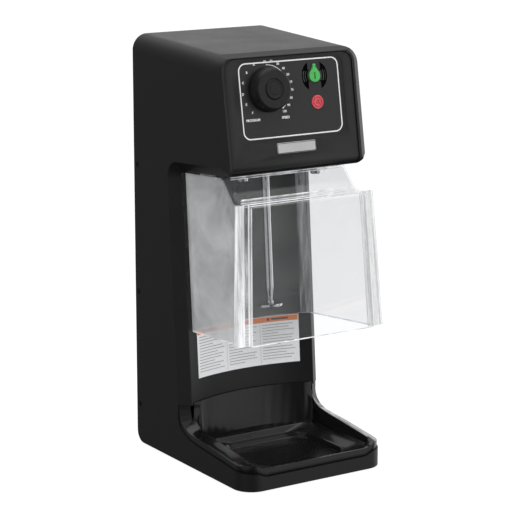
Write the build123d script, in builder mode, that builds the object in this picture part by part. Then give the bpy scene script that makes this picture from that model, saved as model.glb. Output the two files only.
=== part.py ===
from build123d import *
import os
from math import cos, radians, sin, sqrt, tan

os.makedirs("parts", exist_ok=True)

# ----------------------------------------------------------------------------
# Commercial spindle milkshake mixer, standing on the counter at Z = 0.
# +X is the user's right, -Y points towards the user, +Z is up.  X = 0 is the
# machine's middle; Y = 0 is midway between the foot's front and the plug that
# lies behind the machine.  All dimensions in millimetres.
#
# Words used for places:
#   depth    distance in front of the casing's back face, level
#   out, up  distances square to the leaning spindle and along it
#   inset    how far a skin lies inside the outer shape of the casing
# ----------------------------------------------------------------------------

# cord and plug behind the machine (here because they set the origin)
CORD_BEHIND = 29.0      # cord's line on the counter, behind the back face
PLUG_WIDTH = 24.0

# casing
WIDTH = 197.0
HEIGHT = 500.0          # at the back
DEPTH = 245.0           # of the foot
WALL = 3.0
FOOT_PROUD = 2.0        # rubber feet stand this far below the casing
BACK = (DEPTH - CORD_BEHIND - PLUG_WIDTH / 2) / 2   # Y of the back face
TILT = 4.2              # spindle, bay wall and underside lean back by this angle
PANEL_TILT = 9.4        # control panel leans back by this angle
TOP_FALL = 0.047        # the top falls towards the front, mm per mm
TOP_BEVEL_RUN = 11.5    # bevel between the top and the panel: length along the top
TOP_BEVEL_DROP = 3.2    # and drop down the panel
SHOULDER_R = 19.0       # long rounded shoulders of the top
PLAN_R = 24.0           # plan radius of the foot's front corners
HEEL_R = 14.0           # bottom of the back
CHIN_R = 10.0           # lower front edge of the head
BAY_R = 199.0           # radius of the concave bay wall
BAY_OUT = 95.5          # bay wall at the middle
WING_OUT = 115.0        # front of the two wings beside the bay
WING_TOP_R = 8.0        # side-view radius where the wings meet the underside
UNDER_UP = 342.0        # underside of the head
OPENING_CHAMFER = 11.5  # broad chamfer around the bay opening
WELL_Z = 10.0           # floor of the tray well
WING_STEP_Z = 71.3      # underside of the wing, where the sloping flange takes over
FLANGE_SPLIT = 111.6    # the flange behind this depth belongs to the casing
LINE_GAP = 0.8          # parting line between casing and bezel
PANEL_DEPTH, PANEL_Z = 202, 370     # a point on the panel's plane

SPINDLE_OUT = 159.5
SPINDLE_R = 9.5 / 2
AGITATOR_R = 28.8 / 2
SPINDLE_HOLE_R = 12.0

# Side-view lines of the foot and of the sloping flange beside the tray, as
# (depth, z) from the wing to the front.
# upper edge of the foot's side walls
FOOT_LINE = [
    (97.4, 60), (98.2, 52), (101.0, 45.5), (108, 39), (121.6, 34.0),
    (141, 31.4), (165, 29.3), (191, 27.0), (221, 24.2), (246, 21.8),
]
# outer edge of the flange
FLANGE_OUTER = [
    (98.0, 74.5), (98.4, 64), (99.8, 57), (102.5, 51), (109, 45.3), (120.8, 41.2),
    (140, 39.3), (162.7, 37.9), (190, 35.0), (217, 32.1), (246, 29.4),
]
# inner edge of the flange, against the dish
FLANGE_INNER = [
    (109.5, 74.5), (109.8, 66), (111, 60), (113.6, 54.5), (118.5, 49.8), (127, 46.2),
    (144, 43.4), (165, 41.3), (191, 38.5), (217.5, 35.8), (246, 33.0),
]

TILT_SIN, TILT_COS = sin(radians(TILT)), cos(radians(TILT))
PANEL_SIN, PANEL_COS = sin(radians(PANEL_TILT)), cos(radians(PANEL_TILT))


def y_at(depth):
    """Y of a point given as a depth in front of the back face."""
    return BACK - depth


def bay_point(out, up):
    """(Y, Z) of a point given square to the spindle and along it."""
    return (y_at(out * TILT_COS - up * TILT_SIN), out * TILT_SIN + up * TILT_COS)


def side_line(line):
    """(Y, Z) points of a (depth, z) line."""
    return [(y_at(depth), z) for depth, z in line]


# Z runs up along the spindle; a local point is (x, -out) at height up
BAY = Plane(origin=(0, BACK, 0), x_dir=(1, 0, 0), z_dir=(0, TILT_SIN, TILT_COS))
# the spindle's own line; Z is still up
SPINDLE = Plane(
    origin=BAY.from_local_coords((0, -SPINDLE_OUT, 0)), x_dir=(1, 0, 0), z_dir=BAY.z_dir
)
# front rim of the casing's head; local Y runs up the panel, Z points out of it
PANEL = Plane(
    origin=(0, y_at(PANEL_DEPTH), PANEL_Z), x_dir=(1, 0, 0), z_dir=(0, -PANEL_COS, PANEL_SIN)
)


def facing_front(depth, z=0):
    """Upright plane at a depth: local Y is up, Z points to the front."""
    return Plane(origin=(0, y_at(depth), z), x_dir=(1, 0, 0), z_dir=(0, -1, 0))


def bay_facing_front(out):
    """Plane square to the bay's out direction: local Y is up along the spindle."""
    return Plane(
        origin=BAY.from_local_coords((0, -out, 0)), x_dir=(1, 0, 0), z_dir=BAY.y_dir * -1
    )


# fixings; the first three are (x, y), (x, y) and (y, z) in the machine's frame
FOOT_SCREWS = [(x, y_at(depth)) for depth in (112, 226) for x in (-78, 78)]
FEET = [(x, y_at(depth)) for depth in (26, 208) for x in (-72, 72)]
SIDE_SCREWS = [(y_at(8), z) for z in (346, 191, 50)]
SHIELD_STUDS = [(-50, -190), (50, -190), (-66, -150), (66, -150)]   # local to BAY
CORD_X, CORD_Z = 52, 42         # cord outlet in the back

# control panel, local to PANEL
DIAL = (-30.5, 82.0)
START = (34.0, 93.5)
STOP = (35.0, 63.5)
START_TRAVEL = 1.2
STOP_TRAVEL = 1.0


def save(part, name):
    part.label = name
    export_step(part, "parts/" + name + ".step")


def revolved(plane, points):
    """Solid of revolution about the plane's own Z, from (radius, height) points."""
    axis_plane = Plane(origin=plane.origin, x_dir=plane.x_dir, z_dir=-plane.y_dir)
    with BuildPart() as turned:
        with BuildSketch(axis_plane):
            with BuildLine():
                Polyline(*points, close=True)
            make_face()
        revolve(axis=Axis(plane.origin, plane.z_dir))
    return turned.part


def depth_box(x_span, depth_span, z_span):
    """Plain block between two x, two depths and two heights."""
    x_from, x_to = x_span
    y_from, y_to = y_at(depth_span[0]), y_at(depth_span[1])
    with BuildPart() as block:
        with BuildSketch(Plane.XY.offset(z_span[0])):
            with Locations(((x_from + x_to) / 2, (y_from + y_to) / 2)):
                Rectangle(abs(x_to - x_from), abs(y_to - y_from))
        extrude(amount=z_span[1] - z_span[0])
    return block.part


def bay_cylinder(radius, up_span, half_width, front_out):
    """Slice of a cylinder about the bay wall's centre, limited in width and to the front."""
    with BuildPart() as piece:
        with BuildSketch(BAY.offset(up_span[0])):
            with Locations((0, -(BAY_OUT + BAY_R))):
                Circle(radius)
            with Locations((0, -front_out / 2)):
                Rectangle(2 * half_width, front_out, mode=Mode.INTERSECT)
        extrude(amount=up_span[1] - up_span[0])
    return piece.part


# ------------------------------------------------------------------ outer shape
def panel_depth(z):
    """Depth of the panel's plane at height z."""
    return PANEL_DEPTH - (z - PANEL_Z) * tan(radians(PANEL_TILT))


def head_corner():
    """(depth, z) where the underside meets the panel's plane, by iteration."""
    z = 358.0
    for _ in range(20):
        depth = panel_depth(z)
        z = (UNDER_UP + depth * TILT_SIN) / TILT_COS
    return depth, z


def side_profile(rounded):
    """Side view of the casing as a closed face; rounded adds the chin and heel radii."""
    head_depth, head_z = head_corner()
    top_depth = 183.0
    for _ in range(20):
        top_depth = panel_depth(HEIGHT - TOP_FALL * top_depth)
    step_up = (WING_STEP_Z - WING_OUT * TILT_SIN) / TILT_COS
    bevel_depth = top_depth - TOP_BEVEL_RUN
    bevel_z = HEIGHT - TOP_FALL * top_depth - TOP_BEVEL_DROP
    wing_top = bay_point(WING_OUT, UNDER_UP)
    points = [
        (y_at(0), FOOT_PROUD),
        (y_at(DEPTH), FOOT_PROUD),
        (y_at(DEPTH), FOOT_LINE[-1][1] + 0.15),
        *reversed(side_line(FOOT_LINE[:-1])),
        (y_at(97.2), WING_STEP_Z),
        bay_point(WING_OUT, step_up),
        wing_top,
        (y_at(head_depth), head_z),
        (y_at(panel_depth(bevel_z)), bevel_z),
        (y_at(bevel_depth), HEIGHT - TOP_FALL * bevel_depth),
        (y_at(0), HEIGHT),
    ]
    with BuildSketch() as profile:
        with BuildLine():
            Polyline(*points, close=True)
        make_face()
        fillet(profile.vertices().sort_by_distance((*wing_top, 0))[0], WING_TOP_R)
        if rounded:
            chin = profile.vertices().sort_by_distance((y_at(head_depth), head_z, 0))[0]
            fillet(chin, CHIN_R)
            heel = profile.vertices().sort_by_distance((y_at(0), FOOT_PROUD, 0))[0]
            fillet(heel, HEEL_R)
    return profile.sketch


def rim_relief(inset):
    """What is cut from around the panel to give the head its sloping front edges."""
    reach = 60.2                        # from the panel back to the wide end of the slope
    half = 90.0 - 0.4 * inset
    top = 120.8 - 0.6 * inset
    grow, rise = reach * 1.42, reach * 0.5
    with BuildPart() as rim:
        with BuildSketch(PANEL.offset(-60)):
            with Locations((0, 74)):
                Rectangle(280, 172)
        extrude(amount=85)
        with BuildSketch(PANEL.offset(-inset + 0.6)):
            with Locations((0, (top - 100) / 2)):
                RectangleRounded(2 * (half - 0.85), top + 100 - 0.6, 14)
        with BuildSketch(PANEL.offset(-reach)):
            with Locations((0, (top + rise - 100 - grow) / 2)):
                RectangleRounded(2 * (half + grow), top + rise + 100 + grow, 60)
        loft(ruled=True, mode=Mode.SUBTRACT)
    return rim.part


def envelope(inset):
    """Outer shape of the casing without its hollow, drawn in by inset on every face."""
    half = WIDTH / 2 - inset
    with BuildPart() as body:
        with BuildSketch(Plane.YZ):
            add(side_profile(False))
            if inset:
                offset(amount=-inset, kind=Kind.INTERSECTION, mode=Mode.REPLACE)
        extrude(amount=half, both=True)

        def around_bay(edge):
            """True for the edges of the two sides that run around the bay opening."""
            middle = edge.center()
            if abs(abs(middle.X) - half) > 0.05:
                return False
            depth = BACK - middle.Y
            out = depth * TILT_COS + middle.Z * TILT_SIN
            up = middle.Z * TILT_COS - depth * TILT_SIN
            if abs(out - (WING_OUT - inset)) < 0.06 and 90 < up < 340:
                return True
            if abs(up - (UNDER_UP + inset)) < 0.06 and 120 < out < 225:
                return True
            return edge.geom_type == GeomType.CIRCLE and 318 < up < 350 and 105 < out < 140

        chamfer(body.edges().filter_by(around_bay), OPENING_CHAMFER - 0.586 * inset)
        with BuildSketch(Plane.YZ):
            add(side_profile(True))
            if inset:
                offset(amount=-inset, kind=Kind.INTERSECTION, mode=Mode.REPLACE)
        extrude(amount=WIDTH, both=True, mode=Mode.INTERSECT)
        # rounded shoulders, running along the falling top from behind the back
        behind = 20
        shoulder = Plane(
            origin=(0, y_at(-behind), HEIGHT + TOP_FALL * behind - inset),
            x_dir=(1, 0, 0),
            z_dir=(0, -1, -TOP_FALL),
        )
        with BuildSketch(shoulder):
            with Locations((0, -300)):
                RectangleRounded(2 * half, 600, SHOULDER_R - inset)
        extrude(amount=320, mode=Mode.INTERSECT)
        # rounded front corners of the foot, in plan
        with BuildSketch():
            with Locations((0, y_at(DEPTH - inset) + 200)):
                RectangleRounded(2 * half, 400, PLAN_R - inset)
        extrude(amount=600, mode=Mode.INTERSECT)
        add(rim_relief(inset), mode=Mode.SUBTRACT)
    return body.part


def front_dip(low, high, half_low, depth_span):
    """Space above a dipped front edge: flat at low, sweeping up to high at the corners."""
    bend_z = low + (high - low) * 0.42
    with BuildPart() as dip:
        with BuildSketch(facing_front(depth_span[0])):
            with BuildLine():
                Spline(
                    (half_low, low), (half_low + 11, bend_z), (92, high - 0.8), (110, high),
                    tangents=[(1, 0), (1, 0)],
                )
                Spline(
                    (-110, high), (-92, high - 0.8), (-half_low - 11, bend_z), (-half_low, low),
                    tangents=[(1, 0), (1, 0)],
                )
                Line((-half_low, low), (half_low, low))
                Polyline((110, high), (110, 140), (-110, 140), (-110, high))
            make_face()
        extrude(amount=depth_span[1] - depth_span[0])
    return dip.part


def above_flange(side):
    """Space above the sloping flange on one side, between its inner and outer edges."""
    with BuildPart() as space:
        for x, line in ((84.0, FLANGE_INNER), (97.4, FLANGE_OUTER)):
            with BuildSketch(Plane.YZ.offset(side * x)):
                with BuildLine():
                    Polyline(
                        *side_line([*line, (252, line[-1][1]), (252, 95), (line[0][0], 95)]),
                        close=True,
                    )
                make_face()
        loft(ruled=True)
    return space.part


def casing_flange(side):
    """The casing's own part of the sloping flange on one side."""
    x_span = (side * 86.8, side * 97.2)
    with BuildPart() as block:
        add(depth_box(x_span, (95.5, FLANGE_SPLIT), (WELL_Z - 0.5, 72.0)))
        add(above_flange(side), mode=Mode.SUBTRACT)
    return block.part


# bezel outline on the panel
BEZEL_HALF, BEZEL_LOW, BEZEL_TOP = 86.0, -9.0, 118.3


def bezel_prism(grow, start, end):
    """Bezel outline grown by grow, from start to end along the panel's Z."""
    with BuildPart() as prism:
        with BuildSketch(PANEL.offset(start)):
            with Locations((0, (BEZEL_TOP + BEZEL_LOW) / 2)):
                Rectangle(2 * (BEZEL_HALF + grow), BEZEL_TOP - BEZEL_LOW + 2 * grow)
            fillet([p for p in vertices() if p.Y > 50], 12 + grow)
            fillet([p for p in vertices() if p.Y < 0], 3 + grow)
        extrude(amount=end - start)
    return prism.part


# ------------------------------------------------------------------ casing
CASE = envelope(0)
INNER = envelope(WALL)
INNER_WIDTH = WIDTH - 2 * WALL
INNER_PLAN_R = PLAN_R - WALL

with BuildPart() as hollow:
    add(INNER)
    # the bay wall keeps its thickness behind the concave face
    add(bay_cylinder(BAY_R + WALL, (-30, UNDER_UP + WALL), 91, 130), mode=Mode.SUBTRACT)
    # the hollow spine stops behind the tray well
    add(depth_box((-120, 120), (94.5, 260), (0, 91.5)), mode=Mode.SUBTRACT)
    # open back, right through
    with BuildSketch(facing_front(-1)):
        with Locations((0, (FOOT_PROUD + HEIGHT) / 2)):
            RectangleRounded(INNER_WIDTH, HEIGHT - 2 * WALL - FOOT_PROUD, SHOULDER_R - WALL)
    extrude(amount=8)

with BuildPart() as housing_shell:
    add(CASE)
    # concave bay wall down to the floor of the tray well
    with BuildPart(mode=Mode.PRIVATE) as bay_cut:
        add(bay_cylinder(BAY_R, (-40, UNDER_UP), 88, 118))
        add(depth_box((-120, 120), (60, 260), (WELL_Z, 600)), mode=Mode.INTERSECT)
    add(bay_cut.part, mode=Mode.SUBTRACT)
    add(hollow.part, mode=Mode.SUBTRACT)
    # tray well
    well_back = 98
    with BuildSketch(Plane.XY.offset(WELL_Z)):
        with Locations((0, y_at(DEPTH - WALL) + 200)):
            RectangleRounded(INNER_WIDTH, 400, INNER_PLAN_R)
        with Locations((0, (y_at(well_back) + y_at(DEPTH)) / 2)):
            Rectangle(WIDTH, DEPTH - well_back, mode=Mode.INTERSECT)
    extrude(amount=WING_STEP_Z - WELL_Z, mode=Mode.SUBTRACT)
    # sloping flange that carries each wing down to the foot
    for side in (-1, 1):
        add(casing_flange(side))
    # the foot is open underneath for the bottom plate
    with BuildSketch(Plane.XY.offset(FOOT_PROUD - 1)):
        with Locations((0, y_at(DEPTH / 2))):
            RectangleRounded(INNER_WIDTH, DEPTH - 2 * WALL, INNER_PLAN_R)
    extrude(amount=WELL_Z - WALL - FOOT_PROUD + 1, mode=Mode.SUBTRACT)
    add(front_dip(18.0, 26.0, 66.0, (222, 260)), mode=Mode.SUBTRACT)
    # opening for the control bezel
    add(bezel_prism(LINE_GAP, -11, 20), mode=Mode.SUBTRACT)
    # spindle passage and shield studs in the underside
    with BuildSketch(BAY.offset(UNDER_UP - 2)):
        with Locations((0, -SPINDLE_OUT)):
            Circle(SPINDLE_HOLE_R)
        with Locations(*SHIELD_STUDS):
            Circle(2.7)
    extrude(amount=8, mode=Mode.SUBTRACT)
    # recesses, then holes, for the side screws of the rear cover
    for side in (-1, 1):
        for radius, drill in ((3.4, 2.2), (1.7, 6)):
            with BuildSketch(Plane.YZ.offset(side * (WIDTH / 2 + 1))):
                with Locations(*SIDE_SCREWS):
                    Circle(radius)
            extrude(amount=-side * drill, mode=Mode.SUBTRACT)
    # screw bosses under the well floor
    boss_z = 4.0
    with BuildSketch(Plane.XY.offset(boss_z)):
        with Locations(*FOOT_SCREWS):
            Circle(5)
    extrude(amount=WELL_Z - WALL - boss_z + 0.5)
    with BuildSketch(Plane.XY.offset(boss_z - 0.5)):
        with Locations(*FOOT_SCREWS):
            Circle(1.6)
    extrude(amount=5.5, mode=Mode.SUBTRACT)
save(housing_shell.part, "housing_shell")

# ------------------------------------------------------------------ rear cover
COVER_HALF = 95.1
COVER_LOW, COVER_TOP = 5.3, 496.6
COVER_BACK = 0.4        # depth of its outer face
COVER_SHEET = 2.5

with BuildPart() as rear_cover:
    with BuildSketch(facing_front(COVER_BACK)):
        with Locations((0, (COVER_LOW + COVER_TOP) / 2)):
            RectangleRounded(2 * COVER_HALF, COVER_TOP - COVER_LOW, 15.7)
    extrude(amount=COVER_SHEET)
    # side returns that take the side screws
    return_width = 2.8
    for side in (-1, 1):
        with BuildSketch(facing_front(2.5)):
            with Locations((side * (COVER_HALF - return_width / 2), 250)):
                Rectangle(return_width, 450)
        extrude(amount=13)
        with BuildSketch(Plane.YZ.offset(side * 97)):
            with Locations(*SIDE_SCREWS):
                Circle(1.55)
        extrude(amount=-side * 6, mode=Mode.SUBTRACT)
    # louvres in two groups: (middle height, rows)
    for louvre_z, rows in ((416, 9), (120, 5)):
        with BuildSketch(facing_front(COVER_BACK - 1)):
            with Locations((0, louvre_z)):
                with GridLocations(76, 9, 2, rows):
                    SlotOverall(64, 4)
        extrude(amount=5, mode=Mode.SUBTRACT)
    # cord outlet
    with BuildSketch(facing_front(COVER_BACK - 1)):
        with Locations((CORD_X, CORD_Z)):
            Circle(8)
    extrude(amount=5, mode=Mode.SUBTRACT)
save(rear_cover.part, "rear_cover")

with BuildPart() as rear_cover_screws:
    slot_length, slot_width = 3.4, 0.9
    for side in (-1, 1):
        for y, z in SIDE_SCREWS:
            seat = Plane(
                origin=(side * (WIDTH / 2 - 1.1), y, z), x_dir=(0, 1, 0), z_dir=(side, 0, 0)
            )
            with BuildSketch(seat):
                Circle(2.9)
            extrude(amount=0.9)
            with BuildSketch(seat):
                Circle(1.5)
            extrude(amount=-6.0)
            # cross slot
            with BuildSketch(seat.offset(0.4)):
                Rectangle(slot_length, slot_width)
                Rectangle(slot_width, slot_length)
            extrude(amount=1, mode=Mode.SUBTRACT)
save(rear_cover_screws.part, "rear_cover_screws")

# ------------------------------------------------------------------ underneath the foot
PLATE_Z = 2.3
PLATE_EDGE = 3.4        # plate's edge, in from the casing's outside

with BuildPart() as bottom_plate:
    with BuildSketch(Plane.XY.offset(PLATE_Z)):
        with Locations((0, y_at(DEPTH / 2))):
            RectangleRounded(WIDTH - 2 * PLATE_EDGE, DEPTH - 2 * PLATE_EDGE, 20.4)
    extrude(amount=1.5)
    with BuildSketch(Plane.XY.offset(2)):
        with Locations(*FOOT_SCREWS):
            Circle(1.8)
        with Locations(*FEET):
            Circle(4.2)
    extrude(amount=3, mode=Mode.SUBTRACT)
save(bottom_plate.part, "bottom_plate")

with BuildPart() as bottom_plate_screws:
    for screw in FOOT_SCREWS:
        # slotted head below the plate, then the shank
        with BuildSketch(Plane.XY.offset(0.9)):
            with Locations(screw):
                Circle(3.2)
                Rectangle(4.0, 0.9, mode=Mode.SUBTRACT)
        extrude(amount=1.3)
        with BuildSketch(Plane.XY.offset(2.0)):
            with Locations(screw):
                Circle(1.5)
        extrude(amount=6.6)
save(bottom_plate_screws.part, "bottom_plate_screws")

with BuildPart() as rubber_feet:
    for foot in FEET:
        # pad, neck through the plate, and tapered button above it
        with BuildSketch():
            with Locations(foot):
                Circle(10)
        extrude(amount=2.2)
        with BuildSketch(Plane.XY.offset(2.0)):
            with Locations(foot):
                Circle(4.0)
        extrude(amount=2.0)
        with BuildSketch(Plane.XY.offset(3.9)):
            with Locations(foot):
                Circle(5.2)
        extrude(amount=1.6, taper=20)
save(rubber_feet.part, "rubber_feet")

# ------------------------------------------------------------------ control bezel
# heights out of the panel's plane
FACE = -1.0             # bezel face
POCKET = -2.2           # bottom of the overlay's pocket
BADGE_SEAT = -1.8

OVERLAY_Y = 70.5        # middle of the overlay, up the panel
BADGE = (1, 15)
DISH_R = 17.6           # finger dish around the start key
KEY_HEEL = -4.7         # front of the keys' back flanges
KEY_FLANGE = 1.2
KEY_START = -4.9        # the keys' bodies start inside the flanges
BOARD_FACE = -12.0      # front of the control board
BOARD_SHEET = 1.6
BOARD_REAR = BOARD_FACE - BOARD_SHEET - 0.1     # pieces behind the board start here
BOARD_Y = 74
BOARD_GRID = (124, 68, 2, 2)
PILLARS = [(x, y) for y in (BOARD_Y - 34, BOARD_Y + 34) for x in (-62, 62)]


def teardrop(grow):
    """Start key outline: a round body with a narrow neck and a small round tip."""
    tip_y = 11.6
    outline = [(-5.2 - grow, 5.0), (-1.7 - grow, 10.2), (-1.5 - grow, tip_y)]
    outline += [(-x, y) for x, y in reversed(outline)]
    with BuildSketch() as drop:
        Circle(7.3 + grow)
        with Locations((0, tip_y)):
            Circle(2.1 + grow)
        with BuildLine():
            Polyline(*outline, close=True)
        make_face()
    return drop.sketch


with BuildPart() as front_bezel:
    add(envelope(1.0))
    add(envelope(4.0), mode=Mode.SUBTRACT)
    add(bezel_prism(0, -10.6, 20), mode=Mode.INTERSECT)
    # thin frame behind the casing's rim
    with BuildPart(mode=Mode.PRIVATE) as frame:
        add(envelope(3.3))
        add(envelope(5.3), mode=Mode.SUBTRACT)
        add(bezel_prism(4.0, -9.5, 0), mode=Mode.INTERSECT)
        add(bezel_prism(-2.0, -20, 5), mode=Mode.SUBTRACT)
        add(depth_box((-120, 120), (100, 260), (362.5, 600)), mode=Mode.INTERSECT)
    with BuildPart(mode=Mode.PRIVATE) as frame_clear:
        add(frame.part)
        add(housing_shell.part, mode=Mode.SUBTRACT)
    add(frame_clear.part.solids().sort_by(SortBy.VOLUME)[-1])
    # stepped pocket for the overlay
    with BuildSketch(PANEL.offset(FACE + 3)):
        with Locations((0, OVERLAY_Y)):
            RectangleRounded(146, 94, 13)
    extrude(amount=-3.5, mode=Mode.SUBTRACT)
    with BuildSketch(PANEL.offset(FACE + 3)):
        with Locations((0, OVERLAY_Y)):
            RectangleRounded(140, 89.5, 11)
    extrude(amount=-(3 + FACE - POCKET), mode=Mode.SUBTRACT)
    # holes for the dial bush and the two keys
    with BuildSketch(PANEL.offset(5)):
        with Locations(DIAL):
            Circle(4.8)
        with Locations(STOP):
            Circle(8.1)
        with Locations(START):
            add(teardrop(0.35))
    extrude(amount=-14, mode=Mode.SUBTRACT)
    # finger dish either side of the start key
    with BuildSketch(PANEL.offset(POCKET + 1)):
        with Locations(START):
            Circle(DISH_R)
            Circle(9.3, mode=Mode.SUBTRACT)
            with Locations((0, 12), (0, -12)):
                Rectangle(13, 14, mode=Mode.SUBTRACT)
    extrude(amount=-2.2, mode=Mode.SUBTRACT)
    # badge recess
    with BuildSketch(PANEL.offset(5)):
        with Locations(BADGE):
            RectangleRounded(53.6, 13.1, 2.3)
    extrude(amount=-(5 - BADGE_SEAT), mode=Mode.SUBTRACT)
    # board pillars behind the face
    for pillar in PILLARS:
        with BuildSketch(PANEL.offset(-3.8)):
            with Locations(pillar):
                Circle(3.5)
        extrude(amount=-8.0)
        with BuildSketch(PANEL.offset(-6)):
            with Locations(pillar):
                Circle(1.3)
        extrude(amount=-7, mode=Mode.SUBTRACT)
save(front_bezel.part, "front_bezel")

with BuildPart() as control_overlay:
    with BuildSketch(PANEL.offset(POCKET + 0.02)):
        with Locations((0, OVERLAY_Y)):
            RectangleRounded(139.4, 88.9, 10.7)
        with Locations(DIAL):
            Circle(5.2, mode=Mode.SUBTRACT)
        with Locations(STOP):
            Circle(8.2, mode=Mode.SUBTRACT)
        with Locations(START):
            add(teardrop(0.45), mode=Mode.SUBTRACT)
    extrude(amount=0.48)
    # two crescents that open the finger dish either side of the start key
    with BuildSketch(PANEL.offset(0)):
        with Locations(START):
            Circle(DISH_R)
            Circle(9.6, mode=Mode.SUBTRACT)
            with Locations((0, 14), (0, -14)):
                Rectangle(17, 14, mode=Mode.SUBTRACT)
    extrude(amount=-3, mode=Mode.SUBTRACT)
save(control_overlay.part, "control_overlay")

with BuildPart() as name_badge:
    with BuildSketch(PANEL.offset(BADGE_SEAT + 0.02)):
        with Locations(BADGE):
            RectangleRounded(53, 12.5, 2)
    extrude(amount=1.6)
    badge_face = name_badge.faces().sort_by(Axis(PANEL.origin, PANEL.z_dir))[-1]
    chamfer(badge_face.edges(), 0.4)
save(name_badge.part, "name_badge")

# ------------------------------------------------------------------ keys and dial
with BuildPart() as start_button:
    with BuildSketch(PANEL.offset(KEY_START)):
        with Locations(START):
            add(teardrop(0))
    extrude(amount=4.5)
    # raised bar on the key
    with BuildSketch(PANEL.offset(-0.5)):
        with Locations(START):
            Rectangle(1.3, 7.5)
    extrude(amount=0.45)
    # back flange
    with BuildSketch(PANEL.offset(KEY_HEEL)):
        with Locations((START[0], START[1] + 2)):
            RectangleRounded(21, 25, 5)
    extrude(amount=-KEY_FLANGE)
save(start_button.part, "start_button")

with BuildPart() as stop_button:
    with BuildSketch(PANEL.offset(KEY_START)):
        with Locations(STOP):
            Circle(7.8)
    extrude(amount=4.2)
    # raised ring with a triangle outline inside it
    with BuildSketch(PANEL.offset(-0.8)):
        with Locations(STOP):
            Circle(5.9)
            Circle(5.2, mode=Mode.SUBTRACT)
            RegularPolygon(3.6, 3, rotation=-30)
            RegularPolygon(2.4, 3, rotation=-30, mode=Mode.SUBTRACT)
    extrude(amount=0.35)
    # back flange
    with BuildSketch(PANEL.offset(KEY_HEEL)):
        with Locations(STOP):
            Circle(10.2)
    extrude(amount=-KEY_FLANGE)
save(stop_button.part, "stop_button")

# pieces turned about the dial's axis: (radius, height out of the panel)
DIAL_PIECES = {
    "speed_dial": [
        (3.05, -1.3), (25.4, -1.3), (25.4, 0.8), (23.4, 10.0), (22.8, 11.6), (21.2, 12.6),
        (12.2, 12.6), (11.6, 12.1), (11.6, 10.2), (0, 10.2), (0, 9.2), (3.05, 9.2),
    ],
    "dial_cap": [
        (0, 10.3), (11.3, 10.3), (11.3, 12.4), (10.7, 13.1), (9.2, 13.4), (8.8, 13.1),
        (6.4, 13.2), (6.0, 13.5), (0, 13.6),
    ],
    "encoder_shaft": [(0, -9.4), (3.0, -9.4), (3.0, 9.1), (0, 9.1)],
    "dial_encoder": [
        (3.1, -11.0), (6.9, -11.0), (6.9, -4.3), (4.5, -4.3), (4.5, -1.95), (3.1, -1.95),
    ],
}
DIAL_AXIS = Plane(
    origin=PANEL.from_local_coords((*DIAL, 0)), x_dir=(1, 0, 0), z_dir=PANEL.z_dir
)
for name, outline in DIAL_PIECES.items():
    save(revolved(DIAL_AXIS, outline), name)

# ------------------------------------------------------------------ control electronics
with BuildPart() as control_board:
    with BuildSketch(PANEL.offset(BOARD_FACE)):
        with Locations((0, BOARD_Y)):
            RectangleRounded(134, 78, 2)
            with GridLocations(*BOARD_GRID):
                Circle(1.6, mode=Mode.SUBTRACT)
    extrude(amount=-BOARD_SHEET)
save(control_board.part, "control_board")

with BuildPart() as board_screws:
    with BuildSketch(PANEL.offset(BOARD_REAR)):
        with Locations(*PILLARS):
            Circle(2.6)
    extrude(amount=-1.6)
    with BuildSketch(PANEL.offset(BOARD_REAR - 0.1)):
        with Locations(*PILLARS):
            Circle(1.15)
    extrude(amount=7)
save(board_screws.part, "board_screws")


def key_switch(place, travel):
    """Square switch body on the board with a round plunger that leaves the key its travel."""
    plunger_start = -9.2
    plunger_end = KEY_HEEL - KEY_FLANGE - travel - 0.2
    with BuildPart() as switch:
        with BuildSketch(PANEL.offset(BOARD_FACE + 0.05)):
            with Locations(place):
                RectangleRounded(9, 9, 0.8)
        extrude(amount=2.9)
        with BuildSketch(PANEL.offset(plunger_start)):
            with Locations(place):
                Circle(2.4)
        extrude(amount=plunger_end - plunger_start)
    return switch.part


save(key_switch(START, START_TRAVEL), "start_switch")
save(key_switch(STOP, STOP_TRAVEL), "stop_switch")


def components(plane, table, corner, direction):
    """Rounded blocks standing on a board; table rows are (x, y, width, length, height)."""
    with BuildPart() as blocks:
        for x, y, width, length, height in table:
            with BuildSketch(plane):
                with Locations((x, y)):
                    RectangleRounded(width, length, corner)
            extrude(amount=direction * height)
    return blocks.part


BOARD_COMPONENTS = [
    (-48, 52, 20, 16, 8),
    (-46, 96, 14, 14, 6),
    (4, 100, 22, 12, 5),
    (6, 50, 16, 16, 6),
    (8, 74, 14, 14, 3),
]
save(components(PANEL.offset(BOARD_REAR), BOARD_COMPONENTS, 1, -1), "board_components")

# ------------------------------------------------------------------ motor
# sketches lie square to the spindle, centred on it; offsets are heights along it
ISOLATOR_GRID = (96, 32, 2, 2)
BOLT_GRID = (60, 56, 2, 2)      # through bolts and bracket posts
MOUNT_HOLE_R = 2.3
BOLT_HOLE_R = 2.2
POST_R = 5
SHAFT_BORE_R = 4.05
BEARING_SEAT_R = 11.05
PLATE_UP = 351.5                # mount plate
PLATE_SHEET = 2.5
BRACKET_UP = PLATE_UP + PLATE_SHEET + 0.05
UPPER_UP = 441                  # upper end bracket
UPPER_THICK = 8
CORE_UP, CORE_HEIGHT = 377, 36  # stator and armature stacks
CORE_TOP = CORE_UP + CORE_HEIGHT

with BuildPart() as motor_isolators:
    with BuildSketch(SPINDLE.offset(UNDER_UP + WALL + 0.05)):
        with GridLocations(*ISOLATOR_GRID):
            Circle(7)
            Circle(MOUNT_HOLE_R, mode=Mode.SUBTRACT)
    extrude(amount=6.4)
save(motor_isolators.part, "motor_isolators")

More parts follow.
